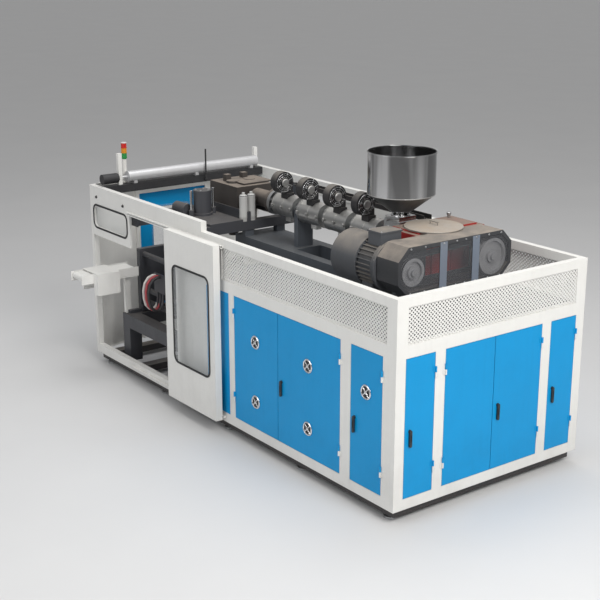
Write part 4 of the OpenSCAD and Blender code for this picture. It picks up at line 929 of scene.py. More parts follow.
@dataclass(frozen=True)
class BandedFinish:
    """A finish that changes along an axis, for nodes that hold several pieces.

    Each step takes over past its place on its own axis, in order; a negative way means below the place.
    """

    name: str
    first: Tone
    steps: tuple[tuple[str, float, int, Tone], ...]

    def material(self) -> Material:
        """Make the material of this finish.

        Returns:
            The material.
        """
        material, w, into = new_material(self.name)
        parts = w.parts(w.place())
        grime = w.effect(EFFECTS.grime, Amount=0.3, Near_floor=0.0, Size=3.0)
        edges = w.effect(EFFECTS.edges, Amount=0.2, Radius=0.002)
        colour: object = self.first.colour
        rough: object = self.first.roughness
        metal: object = self.first.metallic
        for axis, limit, way, tone in self.steps:
            past = w.maths("GREATER_THAN" if way > 0 else "LESS_THAN", parts[axis], limit)
            colour = w.blend(past, colour, tone.colour)
            keep = w.minus(1.0, past)
            rough = w.plus(w.times(past, tone.roughness), w.times(keep, rough))
            metal = w.plus(w.times(past, tone.metallic), w.times(keep, metal))
        w.link(w.blend(w.times(grime["Mask"], 0.4), colour, (0.12, 0.11, 0.10)), into["Base Color"])
        w.link(w.plus(rough, w.times(grime["Mask"], 0.2), clamp=True), into["Roughness"])
        w.link(metal, into["Metallic"])
        relief(w, into, grime["Fine"], edges["Normal"], 0.06, 0.0005)
        return material


# Black of the rails, which also serves as painted shadow for the dark line under the beam and the dark band
# under the tube
BLACK_RAIL_AND_SHADOW = Tone((0.03, 0.03, 0.033), 0.5, 0.2)


def made(finish: Paint | Metal | Polymer | ClearSheet | BandedFinish) -> Material:
    """Return a field whose material is made together with the set of finishes."""
    return field(default_factory=finish.material)


@dataclass
class Finishes:
    """Every material of the machine, made once."""

    white: Material = made(Paint(
        "white enamel", (0.76, 0.755, 0.73), 0.4, dirt_amount=0.2, near_floor=0.35, dust=0.12,
        dust_colour=(0.62, 0.59, 0.54), wear=0.12))
    blue: Material = made(Paint(
        "blue enamel", (0.0, 0.285, 0.62), 0.36, dirt=(0.01, 0.13, 0.28), dirt_amount=0.28, wear=0.12,
        bare=(0.16, 0.36, 0.50), coat=0.0, specular=0.28))
    black: Material = made(Paint(
        "black enamel", (0.018, 0.018, 0.02), 0.45, dirt=(0.12, 0.10, 0.09), dirt_amount=0.35,
        near_floor=0.5, dust=0.4, wear=0.3))
    grey: Material = made(Paint(
        "grey enamel", (0.085, 0.09, 0.10), 0.46, dirt=(0.06, 0.055, 0.05), dirt_amount=0.45, near_floor=0.1,
        dust=0.5, dust_colour=(0.26, 0.235, 0.20), wear=0.35))
    machine: Material = made(Paint(
        "machine enamel", (0.05, 0.052, 0.06), 0.46, dirt=(0.035, 0.03, 0.028), dirt_amount=0.5,
        near_floor=0.1, dust=0.35, dust_colour=(0.20, 0.18, 0.155), wear=0.35))
    motor: Material = made(Paint(
        "motor enamel", (0.07, 0.075, 0.085), 0.5, dirt=(0.05, 0.045, 0.04), dirt_amount=0.5, near_floor=0.0,
        dust=0.85, dust_colour=(0.25, 0.22, 0.185), wear=0.3))
    guard: Material = made(Paint(
        "guard enamel", (0.035, 0.037, 0.042), 0.5, dirt=(0.10, 0.09, 0.08), dirt_amount=0.3, near_floor=0.0,
        dust=0.95, dust_colour=(0.29, 0.25, 0.21), wear=0.25))
    strap: Material = made(Paint(
        "strap enamel", (0.15, 0.18, 0.23), 0.5, dirt_amount=0.35, near_floor=0.0, dust=0.3))
    deck: Material = made(Paint(
        "deck enamel", (0.075, 0.085, 0.10), 0.55, dirt=(0.05, 0.05, 0.05), dirt_amount=0.6, near_floor=0.0,
        dust=0.45, dust_colour=(0.17, 0.17, 0.165), wear=0.2))
    red: Material = made(Paint(
        "red enamel", (0.33, 0.014, 0.012), 0.42, dirt=(0.10, 0.05, 0.04), dirt_amount=0.35, near_floor=0.0,
        dust=1.5, dust_colour=(0.22, 0.16, 0.13), wear=0.3))
    # The hopper steel carries painted reflection: upright dark bands in its base colour
    stainless: Material = made(Metal("hopper steel", (0.80, 0.80, 0.805), 0.14, 0.06, oil=0.08, painted_reflection_bands=0.8))
    # A darker copy of the hopper steel: painted shade on the downward-facing cone
    cone: Material = made(Metal("cone steel with painted shade", (0.22, 0.22, 0.22), 0.38, 0.1, oil=0.6))
    steel: Material = made(Metal("turned steel", (0.50, 0.51, 0.52), 0.3, 0.12, oil=0.25, dust=0.15))
    cover: Material = made(Metal("cover steel", (0.60, 0.60, 0.59), 0.32, 0.1, oil=0.3, dust=0.45))
    lid: Material = made(Metal(
        "dusty lid", (0.50, 0.48, 0.45), 0.4, 0.1, oil=0.3, dust=1.0, dust_colour=(0.36, 0.30, 0.24)))
    iron: Material = made(Metal(
        "black iron", (0.07, 0.07, 0.075), 0.5, 0.1, 0.25, oil=0.4, dust=0.4, metallic=0.7))
    sheave: Material = made(Metal("sheave iron", (0.42, 0.42, 0.43), 0.5, 0.1, 0.2, oil=0.2, metallic=0.3))
    head: Material = made(Metal(
        "hot iron", (0.09, 0.08, 0.075), 0.55, 0.1, 0.25, oil=0.4, dust=0.95,
        dust_colour=(0.24, 0.20, 0.165), metallic=0.6))
    mould: Material = made(Metal("mould metal", (0.60, 0.61, 0.63), 0.3, 0.12, oil=0.2))
    chrome: Material = made(Metal("chromed trim", (0.78, 0.78, 0.79), 0.12, 0.04, oil=0.1))
    gasket: Material = made(Polymer("gasket rubber", (0.016, 0.016, 0.018), 0.65))
    rubber: Material = made(Polymer("belt rubber", (0.022, 0.022, 0.024), 0.5))
    plastic: Material = made(Polymer("black plastic", (0.02, 0.02, 0.022), 0.42))
    light_plastic: Material = made(Polymer("grey plastic", (0.42, 0.42, 0.41), 0.45))
    red_plastic: Material = made(Polymer("red plastic", (0.50, 0.012, 0.01), 0.28, 0.1))
    green_plastic: Material = made(Polymer("green plastic", (0.02, 0.32, 0.08), 0.28, 0.1))
    screen: Material = made(Polymer("dark screen", (0.012, 0.03, 0.06), 0.12, 0.05))
    pane: Material = made(ClearSheet("clear pane", (0.70, 0.73, 0.74), 0.12))
    guard_pane: Material = made(ClearSheet("smoked pane", (0.16, 0.165, 0.18), 0.18, 0.14))
    # The rails' black is partly their own colour and partly painted shadow under the beam
    rail_and_tube: Material = made(BandedFinish(
        "rail and tube", BLACK_RAIL_AND_SHADOW,
        (("Z", 1.9402, 1, Tone((0.60, 0.60, 0.61), 0.38, 0.45)), ("Y", MIDLINE - 0.765, -1, BLACK_RAIL_AND_SHADOW),
         ("X", -2.1495, 1, BLACK_RAIL_AND_SHADOW))))
    lamps: Material = made(BandedFinish(
        "lamp colours", Tone((0.70, 0.69, 0.66)),
        (("Z", 2.183, 1, Tone((0.02, 0.26, 0.06), 0.2)), ("Z", 2.247, 1, Tone((0.62, 0.24, 0.02), 0.2)),
         ("Z", 2.299, 1, Tone((0.52, 0.02, 0.015), 0.2)), ("Z", 2.351, 1, Tone((0.55, 0.55, 0.54))))))
    hoses: Material = made(BandedFinish(
        "hose colours", Tone((0.62, 0.60, 0.57), 0.45),
        (("X", -1.525, 1, Tone((0.42, 0.06, 0.07), 0.42)), ("X", -1.475, 1, Tone((0.03, 0.03, 0.032), 0.5)),
         ("Y", MIDLINE - 0.7805, 1, Tone((0.09, 0.09, 0.10), 0.45, 0.5)))))


# The machine's sub-assemblies


@dataclass
class SubAssembly:
    """A part of the machine that gets its looks here, with the finishes that it draws from."""

    finishes: Finishes

    def build(self) -> None:
        """Build and dress the pieces."""
        raise NotImplementedError


@dataclass
class PlainNodes(SubAssembly):
    """The CAD nodes whose shapes stay as they are and only get their finishes."""

    def build(self) -> None:
        """Give every CAD node its material."""
        f = self.finishes
        plan: dict[str, Material] = {
            "base_frame": f.black, "levelling_feet": f.steel, "cabinet_frame": f.white,
            "clamp_frame": f.white, "extruder_deck": f.deck, "extruder_stand": f.deck,
            "perforated_panels": f.white, "fixed_side_panels": f.blue, "operator_wall": f.white,
            "control_panel": f.light_plastic, "stop_button": f.red_plastic, "signal_tower": f.lamps,
            "top_beam": f.rail_and_tube, "barrel": f.steel, "screw": f.steel, "heater_covers": f.cover,
            "blowers": f.black, "cable_tray": f.black, "gearbox": f.red, "drive_motor": f.motor,
            "belt_guard": f.guard, "guard_window": f.guard_pane, "gearbox_pulley": f.sheave,
            "motor_pulley": f.sheave, "drive_belts": f.rubber, "hopper": f.stainless, "hopper_lid": f.lid,
            "slide_gate": f.steel, "die_head": f.head, "clamp_bed": f.machine, "mould_carriage": f.machine,
            "front_platen": f.iron, "rear_platen": f.iron, "front_mould": f.mould, "rear_mould": f.mould,
            "blow_station": f.machine, "blow_pins": f.chrome, "conveyor": f.white, "mould_hoses": f.hoses,
            "hydraulic_unit": f.grey, "left_sliding_door": f.white, "right_sliding_door": f.white,
            "left_sliding_window": f.pane, "right_sliding_window": f.pane, "fixed_windows": f.pane,
            "operator_window": f.pane,
        }
        for name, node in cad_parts.items():
            node.data.materials.clear()
            node.data.materials.append(plan.get(name, f.plastic if "handle" in name else f.blue))
        log.info("%d CAD nodes have their finishes", len(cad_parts))


@dataclass
class PerforatedBand(SubAssembly):
    """The parapet's perforated sheets, with round holes in a close pattern."""

    pitch: Place = (0.036, 0.0325)
    hole: float = 0.0072
    hole_sides: int = 8
    thickness: float = 0.003
    depth: float = 0.0105
    side_end: float = 2.396
    half_end: float = 0.936
    inner: float = 0.42

    def cell(self) -> Piece:
        """Model one cell of sheet with a round hole.

        Returns:
            The cell, whose border has the hole's points moved out to it.
        """
        piece = primitive("perforated_cell", bpy.ops.mesh.primitive_circle_add, vertices=self.hole_sides,
                          radius=self.hole, fill_type="NOTHING", rotation=(0, 0, math.pi / self.hole_sides))
        settle(piece)
        with editing(piece):
            pick_all()
            bpy.ops.mesh.extrude_edges_move(TRANSFORM_OT_translate={"value": (0, 0, 0)})
        far = self.hole * 0.6
        for vertex in list(piece.data.vertices)[self.hole_sides:]:
            for axis in (0, 1):
                value, half = vertex.co[axis], self.pitch[axis] / 2
                vertex.co[axis] = math.copysign(half if abs(value) > far else half * self.inner, value)
        return piece

    def sheet(self, name: str, face: Face, start: float, end: float) -> None:
        """Build one sheet between two places along a face.

        Args:
            name: Name of the piece.
            face: The face that it lies on.
            start: Left end, seen from outside.
            end: Right end, seen from outside.
        """
        low, high = (corner.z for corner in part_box("perforated_panels"))
        piece = self.cell()
        piece.name = name
        stretch = []
        for axis, length in enumerate((end - start, high - low)):
            step = self.pitch[axis]
            array = piece.modifiers.new("rows", "ARRAY")
            array.count = int(length / step)
            array.use_relative_offset = False
            array.use_constant_offset = True
            array.constant_offset_displace = (step * (axis == 0), step * (axis == 1), 0.0)
            array.use_merge_vertices = True
            array.merge_threshold = 0.0002
            stretch.append(length / (array.count * step))
        apply_modifiers(piece)
        corner = [place + step * wider / 2 for place, step, wider in zip((start, low), self.pitch, stretch)]
        local = Matrix.Translation((*corner, -self.depth))
        piece.matrix_world = face.matrix() @ local @ Matrix.Diagonal((*stretch, 1.0, 1.0))
        settle(piece)
        shell = piece.modifiers.new("sheet", "SOLIDIFY")
        shell.thickness = self.thickness
        shell.offset = 0.0
        apply_modifiers(piece)
        with editing(piece):
            turn_outwards()
        fit(settle(piece), self.finishes.white, nodes=["perforated_panels"])

    def build(self) -> None:
        """Build the three sheets."""
        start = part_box("perforated_panels")[0].x
        for side, face in SIDES.items():
            self.sheet(f"parapet_sheet_{side}", face, *sorted((face.drawn(start), face.drawn(self.side_end))))
        self.sheet("parapet_sheet_end", Face.DRIVE, -self.half_end, self.half_end)


@dataclass
class Window:
    """A clear pane behind its sheet and the rubber gasket round it."""

    name: str
    face: Face
    centre: Place
    size: Place
    front: float
    sheet: float
    body: str
    node: str
    corner: float = 0.06
    lap: float = 0.02
    bead: float = 0.016
    thickness: float = 0.005

    def slab(self, name: str, grow: float, low: float, high: float) -> Piece:
        """Model a slab with round corners.

        Args:
            name: Name of the piece.
            grow: How far it reaches past the opening.
            low: Its inner depth on the face.
            high: Its outer depth.

        Returns:
            The slab.
        """
        piece = primitive(name, bpy.ops.mesh.primitive_plane_add, size=1.0)
        piece.scale = (self.size[0] + 2 * grow, self.size[1] + 2 * grow, 1.0)
        settle(piece)
        with editing(piece):
            pick_all()
            bpy.ops.mesh.bevel(offset=self.corner + grow, segments=8, affect="VERTICES")
            pick_all()
            pull(Vector((0, 0, high - low)))
            turn_outwards()
        piece.matrix_world = self.face.matrix() @ Matrix.Translation((*self.centre, low))
        return settle(piece)

    def build(self, finishes: Finishes) -> None:
        """Build the pane and the gasket.

        Args:
            finishes: The machine's finishes.
        """
        back = self.front - self.sheet
        pane = self.slab(f"{self.name}_pane", self.lap, back - self.thickness, back)
        fit(pane, finishes.pane, self.body, [self.node])
        gasket = self.slab(f"{self.name}_gasket", self.bead, self.front - 0.001, self.front + 0.005)
        pick_faces(gasket, lambda centre, normal: abs(normal.dot(self.face.out)) > 0.9)
        with editing(gasket):
            bpy.ops.mesh.inset(thickness=self.bead + 0.004, depth=0.0, use_even_offset=True)
            bpy.ops.mesh.bridge_edge_loops()
        soften(gasket, 0.0018)
        fit(settle(gasket), finishes.gasket, self.body, [self.node])


@dataclass
class Windows(SubAssembly):
    """The panes of the sliding doors, the small fixed windows and the operator door's window."""

    slider_x: float = -0.250
    slider_size: Place = (0.610, 0.937)
    slider_out: float = 0.110
    fixed_x: float = -1.9635
    fixed_size: Place = (0.699, 0.228)
    door_size: Place = (0.480, 0.990)
    door_sheet: float = 0.003
    beam: float = 0.025

    def build(self) -> None:
        """Build every window."""
        windows = [Window(f"{side}_slider", face, (face.drawn(self.slider_x), 1.0115), self.slider_size,
                          self.slider_out, self.door_sheet, f"{side}_slider", f"{side}_sliding_window")
                   for side, face in SIDES.items()]
        windows += [Window(f"{side}_fixed", face, (face.drawn(self.fixed_x), 1.628), self.fixed_size, 0.0,
                           self.beam, CASING, "fixed_windows") for side, face in SIDES.items()]
        windows.append(Window("operator", Face.OPERATOR, (0.0, 1.075), self.door_size, 0.0, self.door_sheet,
                              "operator_leaf", "operator_window"))
        for window in windows:
            window.build(self.finishes)


@dataclass
class Vents(SubAssembly):
    """The round vents of chromed plastic in the side doors: rim, cross, hub and dark mesh."""

    rim: float = 0.061
    clear: float = 0.047
    reach: float = 0.049
    seat: float = 0.0042
    front: float = 0.0052
    high: float = 1.0184
    low: float = 0.4606
    steps: int = 40

    def vent(self, name: str, x: float, z: float, body: str) -> None:
        """Build one vent.

        Args:
            name: Name of the piece.
            x: Its place along the machine.
            z: Its height.
            body: The door that carries it.
        """
        rim, clear, seat, front = self.rim, self.clear, self.seat, self.front
        out = Face.LEFT.out
        centre = Face.LEFT.point(x, z)
        ring = turned(name, [(clear, seat), (rim - 0.004, seat), (rim + 0.002, seat + 0.0003),
                             (rim, front + 0.002), (rim - 0.006, front + 0.006),
                             (clear + 0.004, front + 0.005), (clear, front), (clear, seat)],
                      centre, out, self.steps)
        ends = around(centre + out * (front + 0.0015), out, self.reach, 4)
        bars = [rod(name, ends[index], ends[index + 2], 0.0058, 8) for index in (0, 1)]
        hub = turned(name, [(0.0, 0.0045), (0.016, 0.0045), (0.016, front + 0.004), (0.010, front + 0.009),
                            (0.0, front + 0.010)], centre, out, 24)
        fit(joined(name, [ring, *bars, hub]), self.finishes.chrome, body)
        wide = clear + 0.0008
        mesh = turned(f"{name}_mesh", [(0.0, 0.0041), (wide, 0.0041), (wide, 0.0047), (0.0, 0.0047)],
                      centre, out, self.steps)
        fit(mesh, self.finishes.gasket, body)

    def build(self) -> None:
        """Build two vents in each wide side door and one in the narrow one."""
        for door, x in (("near", 1.407), ("far", 0.6425)):
            for level, z in (("high", self.high), ("low", self.low)):
                self.vent(f"vent_{door}_{level}", x, z, f"side_leaf_{door}")
        self.vent("vent_narrow", 2.1625, self.high, "side_narrow_leaf")


@dataclass
class Locks(SubAssembly):
    """The lock cylinders over the spindles of the turning handles."""

    height: float = 0.766
    operator_height: float = 1.015
    seat: float = 0.0125
    profile: tuple[Place, ...] = ((0.0, 0.0), (0.0085, 0.0), (0.0085, 0.0060), (0.0075, 0.0072),
                                  (0.0028, 0.0072), (0.0028, 0.0056), (0.0, 0.0056))

    def lock(self, name: str, face: Face, along: float, up: float, body: str) -> None:
        """Build the lock over one handle's spindle.

        Args:
            name: Name of the piece.
            face: The face that the handle is on.
            along: The spindle's place along the face.
            up: Its height.
            body: The handle's body.
        """
        lock = turned(name, self.profile, face.point(along, up, self.seat), face.out, 24)
        fit(lock, self.finishes.chrome, body)

    def build(self) -> None:
        """Build the six locks."""
        for name, face, along, body in (
                ("end", Face.DRIVE, 0.055, "end_lever"),
                ("end_narrow_left", Face.DRIVE, -0.897, "end_narrow_lever_left"),
                ("end_narrow_right", Face.DRIVE, 0.702, "end_narrow_lever_right"),
                ("side", Face.LEFT, 1.032, "side_lever"),
                ("side_narrow", Face.LEFT, 2.023, "side_narrow_lever")):
            self.lock(f"lock_{name}", face, along, self.height, body)
        self.lock("lock_operator", Face.OPERATOR, 0.365, self.operator_height, "operator_lever")


@dataclass
class BlowerTrim(SubAssembly):
    """Wire guards and motor caps on the four blowers."""

    y: float = MIDLINE - 0.060
    z: float = 2.175
    mouth: float = 0.046
    back: float = 0.056
    rings: tuple[float, ...] = (0.086, 0.068, 0.051)
    spokes: Place = (0.042, 0.098)
    wire: float = 0.0026
    cap: tuple[Place, ...] = ((0.0, 0.0), (0.040, 0.0), (0.040, 0.006), (0.034, 0.012), (0.012, 0.014),
                              (0.0, 0.014))

    def build(self) -> None:
        """Build the guard and the cap of every blower."""
        for index, x in enumerate(STATIONS):
            middle = (x + self.mouth, self.y, self.z)
            wires = [wire_ring("wire", middle, ALONG, radius, self.wire, 40) for radius in self.rings]
            inner, outer = (around(middle, ALONG, radius, 8) for radius in self.spokes)
            wires += [rod("wire", start, end, self.wire, 8) for start, end in zip(inner, outer)]
            fit(joined(f"blower_guard_{index + 1}", wires), self.finishes.chrome)
            seat = (x + self.back, self.y, self.z)
            cap = turned(f"blower_motor_cap_{index + 1}", self.cap, seat, ALONG, 32)
            fit(cap, self.finishes.cover)


@dataclass
class HeaterTrim(SubAssembly):
    """Clamp lugs and screws of the heater covers."""

    radius: float = 0.115
    lugs: tuple[float, ...] = (-0.145, 0.0, 0.145)
    half: float = 0.012
    rise: float = 0.014

    def build(self) -> None:
        """Build the lugs with their screws along the front of each cover."""
        edge = BARREL_Y - self.radius
        for index, x in enumerate(STATIONS):
            pieces = []
            for middle in (x + along for along in self.lugs):
                pieces.append(block("lug", (middle - self.half, edge - 0.016, BARREL_Z - self.rise),
                                    (middle + self.half, edge + 0.003, BARREL_Z + self.rise)))
                pieces.append(hex_bolt("bolt", (middle, edge - 0.008, BARREL_Z + self.rise), UP, 0.012))
            fit(joined(f"heater_clamps_{index + 1}", pieces), self.finishes.cover)


@dataclass
class HopperTrim(SubAssembly):
    """The hopper's rolled rim, weld line, cone skin in darker steel as painted shade, and flange bolts."""

    x: float = 1.275
    radius: float = 0.294
    wire: float = 0.0052
    shoulder: float = 2.320
    flange: float = 2.138
    steps: int = 96

    def build(self) -> None:
        """Build rim, weld line, cone skin with painted shade, and flange bolts."""
        x, y, top, r = self.x, BARREL_Y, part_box("hopper")[1].z, self.radius
        rim = wire_ring("hopper_rim", (x, y, top - self.wire), UP, r + 0.002, self.wire, self.steps)
        fit(rim, self.finishes.chrome)
        weld = turned("hopper_weld", [(r - 0.0005, -0.004), (r + 0.0015, -0.002), (r + 0.0015, 0.003),
                                      (r - 0.0005, 0.005), (r - 0.0005, -0.004)],
                      (x, y, self.shoulder), UP, self.steps)
        fit(weld, self.finishes.cover)
        # Painted shade: a thin skin of darker steel over the lower cone, which faces down
        skin = turned("hopper_cone_painted_shade", [(0.0580, 2.1382), (0.2938, 2.3185), (0.2946, 2.3180),
                                           (0.0590, 2.1378), (0.0580, 2.1382)], (x, y, 0.0), UP, self.steps)
        fit(skin, self.finishes.cone)
        seats = around((x, y, self.flange), UP, 0.072, 8)
        fit(bolts("hopper_flange_bolts", seats, UP, 0.014), self.finishes.steel)


@dataclass
class StationTrim(SubAssembly):
    """Light sleeves and valves of the accumulators beside the die head, and the blow cylinder's bolts."""

    x: float = -0.79
    ys: tuple[float, ...] = (-0.195, -0.103)
    low: float = 1.7305
    high: float = 1.985
    radius: float = 0.040
    cylinder: Place = (-1.19, MIDLINE - 0.42)

    def build(self) -> None:
        """Build the sleeves with their valves, and the tie bolts of the cylinder."""
        inner, r, low, high = self.radius - 0.004, self.radius + 0.0008, self.low, self.high
        sleeve = [(inner, low), (r, low), (r, low + 0.03), (r + 0.0015, low + 0.034),
                  (r + 0.0015, low + 0.05), (r, low + 0.054), (r, high - 0.006), (r - 0.008, high + 0.004)]
        valve = [(0.016, high + 0.010), (0.016, high + 0.026), (0.010, high + 0.030), (0.0, high + 0.030),
                 (0.0, high - 0.01), (inner, high - 0.01), (inner, low)]
        for index, y in enumerate(self.ys):
            piece = turned(f"accumulator_{index + 1}", sleeve + valve, (self.x, MIDLINE + y, 0.0), UP, 40)
            fit(piece, self.finishes.light_plastic)
        heads = around((*self.cylinder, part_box("blow_station")[1].z), UP, 0.066, 4)
        fit(bolts("blow_cylinder_bolts", heads, UP, 0.018), self.finishes.steel)


@dataclass
class DriveTrim(SubAssembly):
    """Straps and bolts of the belt guard, and the fittings of motor and gearbox."""

    straps: tuple[float, ...] = (-0.262, 0.096)
    strap_width: float = 0.076
    strap_thickness: float = 0.004
    strap_lap: float = 0.001
    guard_rows: tuple[float, ...] = (-0.57, -0.42, -0.08, 0.02, 0.28, 0.42)
    motor_y: float = MIDLINE - 0.505
    motor_z: float = 1.876
    flange_x: float = 1.820
    grille: tuple[float, ...] = (0.165, 0.135, 0.105, 0.075, 0.045)
    wire: float = 0.003
    joint_rows: tuple[float, ...] = (1.425, 1.52, 1.62, 1.72, 1.815)
    joint_z: float = 1.948
    bolt: float = 0.012

    def steel(self, piece: Piece) -> None:
        """Give a set of bolts its finish."""
        fit(piece, self.finishes.steel)

    def guard(self) -> None:
        """Build the guard's straps and bolts."""
        (_, _, low), (front, _, high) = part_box("belt_guard")
        proud = front + self.strap_thickness
        for index, y in enumerate(self.straps):
            start, end = MIDLINE + y - self.strap_lap, MIDLINE + y + self.strap_width + self.strap_lap
            strap = block(f"guard_strap_{index + 1}", (front + 0.0003, start, low + 0.006),
                          (proud, end, high - 0.006), 0.001)
            fit(strap, self.finishes.strap)
        levels = (low + 0.018, high - 0.018)
        places = [(front, MIDLINE + y, z) for y in self.guard_rows for z in levels]
        places += [(proud, MIDLINE + y + self.strap_width / 2, z) for y in self.straps for z in levels]
        self.steel(bolts("guard_bolts", places, ALONG, 0.013))

    def motor(self) -> None:
        """Build the cowl's grille, the flange bolts and the screws of the terminal box."""
        (end, _, _), (_, _, box_top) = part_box("drive_motor")
        middle = (end - 0.002, self.motor_y, self.motor_z)
        grille = [wire_ring("wire", middle, ALONG, radius, self.wire) for radius in self.grille]
        ends = around(middle, ALONG, 0.176, 8, 0.0)
        grille += [rod("wire", ends[index], ends[index + 4], self.wire, 8) for index in range(4)]
        fit(joined("motor_cowl_grille", grille), self.finishes.motor)
        flange = around((self.flange_x, self.motor_y, self.motor_z), ALONG, 0.213, 8)
        self.steel(bolts("motor_flange_bolts", flange, (-1, 0, 0), self.bolt))
        screws = [(x, self.motor_y + y, box_top) for x in (1.636, 1.789) for y in (-0.099, 0.099)]
        self.steel(bolts("terminal_box_screws", screws, UP, self.bolt))

    def gearbox(self) -> None:
        """Build the gearbox's joint bolts and its breather."""
        joint = [(x, MIDLINE + y, self.joint_z) for x in self.joint_rows for y in (-0.253, 0.513)]
        breather = turned("breather", [(0.0, 0.0), (0.014, 0.0), (0.014, 0.022), (0.020, 0.026),
                                       (0.020, 0.044), (0.012, 0.050), (0.0, 0.050)],
                          (1.50, MIDLINE + 0.40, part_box("gearbox")[1].z), UP, 24)
        self.steel(joined("gearbox_bolts", [bolts("bolts", joint, UP, self.bolt), breather]))

    def build(self) -> None:
        """Build guard, motor and gearbox fittings."""
        self.guard()
        self.motor()
        self.gearbox()


@dataclass
class ControlTrim(SubAssembly):
    """Screen and keys of the control panel on the bent part of the operator wall."""

    low: float = 1.18
    depth: float = 0.036
    bow: float = 0.12
    run: float = 0.45
    corner_x: float = -2.39
    screen_half: float = 0.1235
    screen_low: float = 0.2155
    screen_high: float = 0.4025
    key_up: float = 0.167
    key_pitch: float = 0.032
    key: tuple[Place, ...] = ((0.0, 0.0), (0.012, 0.0), (0.012, 0.003), (0.0085, 0.0035), (0.0085, 0.009),
                              (0.007, 0.0105), (0.0, 0.0105))

    def matrix(self) -> Matrix:
        """Return the place of the bent panel.

        Returns:
            The move that lays a drawing (x right, y up, z outwards) on it.
        """
        turns = ((math.atan2(self.bow, self.run), "Z"), (math.radians(-90), "Z"), (math.radians(90), "X"))
        place = Matrix.Translation((self.corner_x - self.bow / 2, LEFT_SIDE + self.run / 2, 0.0))
        for angle, axis in turns:
            place = place @ Matrix.Rotation(angle, 4, axis)
        return place

    def build(self) -> None:
        """Build the screen and the row of round keys."""
        matrix, f = self.matrix(), self.finishes
        screen = block("control_screen", (-self.screen_half, self.low + self.screen_low, self.depth - 0.0028),
                       (self.screen_half, self.low + self.screen_high, self.depth - 0.0012), 0.0004)
        screen.matrix_world = matrix
        fit(settle(screen), f.screen)
        out = matrix.to_3x3() @ Vector(UP)
        for index, material in enumerate((f.green_plastic, f.plastic, f.plastic, f.red_plastic)):
            centre = matrix @ Vector((index * self.key_pitch - 0.114, self.low + self.key_up, self.depth))
            key = turned(f"control_key_{index + 1}", self.key, centre, out, 24)
            fit(key, material)


@dataclass
class FrameTrim(SubAssembly):
    """The two dark bolts on each long beam."""

    rows: tuple[float, ...] = (-2.243, -1.68)
    height: float = 1.833

    def build(self) -> None:
        """Build the bolts of both beams."""
        for side, face in SIDES.items():
            places = [face.point(face.drawn(x), self.height) for x in self.rows]
            fit(bolts(f"beam_bolts_{side}", places, face.out, 0.026), self.finishes.iron)


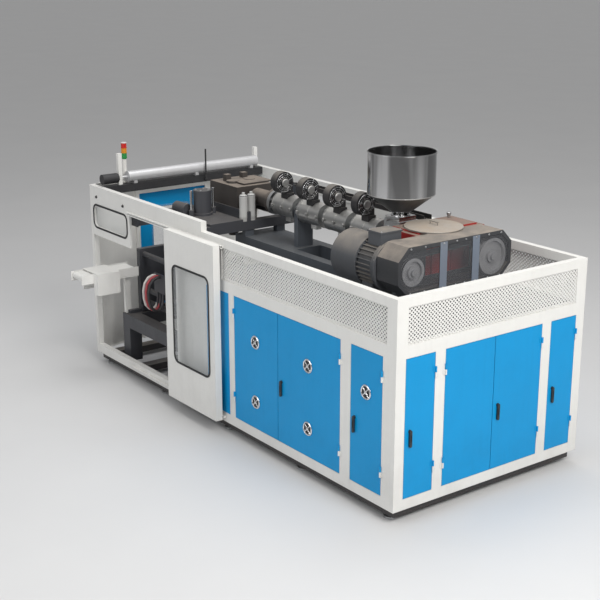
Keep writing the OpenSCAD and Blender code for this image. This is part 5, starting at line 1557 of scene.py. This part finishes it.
@dataclass
class Studio:
    """Floor, lights and camera."""

    eye: Point = (9.10, -6.70, 4.45)
    aim: Point = (0.10, -0.02, 1.12)
    lens: float = 74.0
    floor_size: float = 400.0
    floor_tones: tuple[Colour, Colour] = ((0.58, 0.58, 0.585), (0.62, 0.62, 0.62))
    room_tones: tuple[Colour, Colour] = ((0.16, 0.165, 0.175), (1.0, 1.0, 1.0))
    plain_room: float = 0.72
    room_strength: float = 0.5

    def hang(self, name: str, data: bpy.types.ID, place: Point, aim: Point) -> Piece:
        """Put a camera or a light in its place and point it.

        Args:
            name: Name of the object.
            data: The camera or the light.
            place: Where it stands.
            aim: What it points at.

        Returns:
            The object.
        """
        piece = bpy.data.objects.new(name, data)
        bpy.context.scene.collection.objects.link(piece)
        piece.location = place
        piece.rotation_euler = (Vector(aim) - Vector(place)).to_track_quat("-Z", "Y").to_euler()
        return piece

    def camera(self) -> None:
        """Place the camera at the photograph's viewing angle."""
        data = bpy.data.cameras.new("camera")
        data.lens = self.lens
        data.sensor_width = 36.0
        data.clip_end = 200.0
        bpy.context.scene.camera = self.hang("camera", data, self.eye, self.aim)

    def floor(self) -> None:
        """Lay the pale floor."""
        floor = primitive("studio_floor", bpy.ops.mesh.primitive_plane_add, size=self.floor_size)
        material, w, into = new_material("studio floor")
        w.link(w.blend(w.noise(w.place(), 0.8, 3.0), *self.floor_tones), into["Base Color"])
        into["Roughness"].default_value = 0.65
        floor.data.materials.append(material)

    def light(self, name: str, place: Point, aim: Point, size: float, power: float, tint: Colour) -> None:
        """Hang one soft area light.

        Args:
            name: Name of the light.
            place: Where it hangs.
            aim: What it points at.
            size: Its width.
            power: Its power in watts.
            tint: Its colour.
        """
        data = bpy.data.lights.new(name, "AREA")
        data.shape = "SQUARE"
        data.size = size
        data.energy = power
        data.color = tint
        self.hang(name, data, place, aim)

    def sky(self) -> None:
        """Give the room a soft, bright surround, with walls and gaps that only reflections show."""
        world = bpy.data.worlds.new("studio")
        world.use_nodes = True
        w = Wiring(world.node_tree)
        back = world.node_tree.nodes["Background"]
        parts = w.parts(w.add("ShaderNodeTexCoord").outputs["Generated"])
        rise = w.ramp(parts["Z"], 0.05, 0.55)
        turn = w.times(w.maths("ARCTAN2", parts["Y"], parts["X"]), 3.5)
        walls = w.ramp(w.maths("SINE", turn), -0.5, 0.6, 0.10, 0.85)
        room = w.maths("MAXIMUM", rise, walls)
        seen = w.add("ShaderNodeLightPath").outputs["Is Glossy Ray"]
        room = w.maths("MAXIMUM", room, w.times(w.minus(1.0, seen), self.plain_room))
        w.link(w.blend(room, *self.room_tones), back.inputs["Color"])
        back.inputs["Strength"].default_value = self.room_strength
        bpy.context.scene.world = world

    def build(self) -> None:
        """Set the whole studio."""
        self.camera()
        self.floor()
        self.sky()
        self.light("key", (9.0, -1.5, 7.5), (1.0, 0.0, 1.2), 5.0, 820.0, (1.0, 0.985, 0.96))
        self.light("fill", (0.5, -9.5, 6.0), (0.0, 0.0, 1.2), 6.0, 215.0, (0.96, 0.98, 1.0))
        self.light("top", (-0.5, 1.0, 9.0), (0.0, 0.0, 1.5), 6.0, 300.0, (1.0, 1.0, 1.0))
        bpy.context.scene.view_settings.view_transform = "Standard"
        log.info("studio is set")


def main() -> None:
    """Build the machine's looks in order."""
    logging.basicConfig(level=logging.INFO, format="%(name)s: %(message)s")
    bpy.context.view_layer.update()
    Studio().build()
    finishes = Finishes()
    for part in (PlainNodes, PerforatedBand, Windows, Vents, Locks, BlowerTrim, HeaterTrim, HopperTrim,
                 StationTrim, DriveTrim, ControlTrim, FrameTrim):
        part(finishes).build()
        log.info("%s is built", part.__name__)


if __name__ == "__main__":
    main()
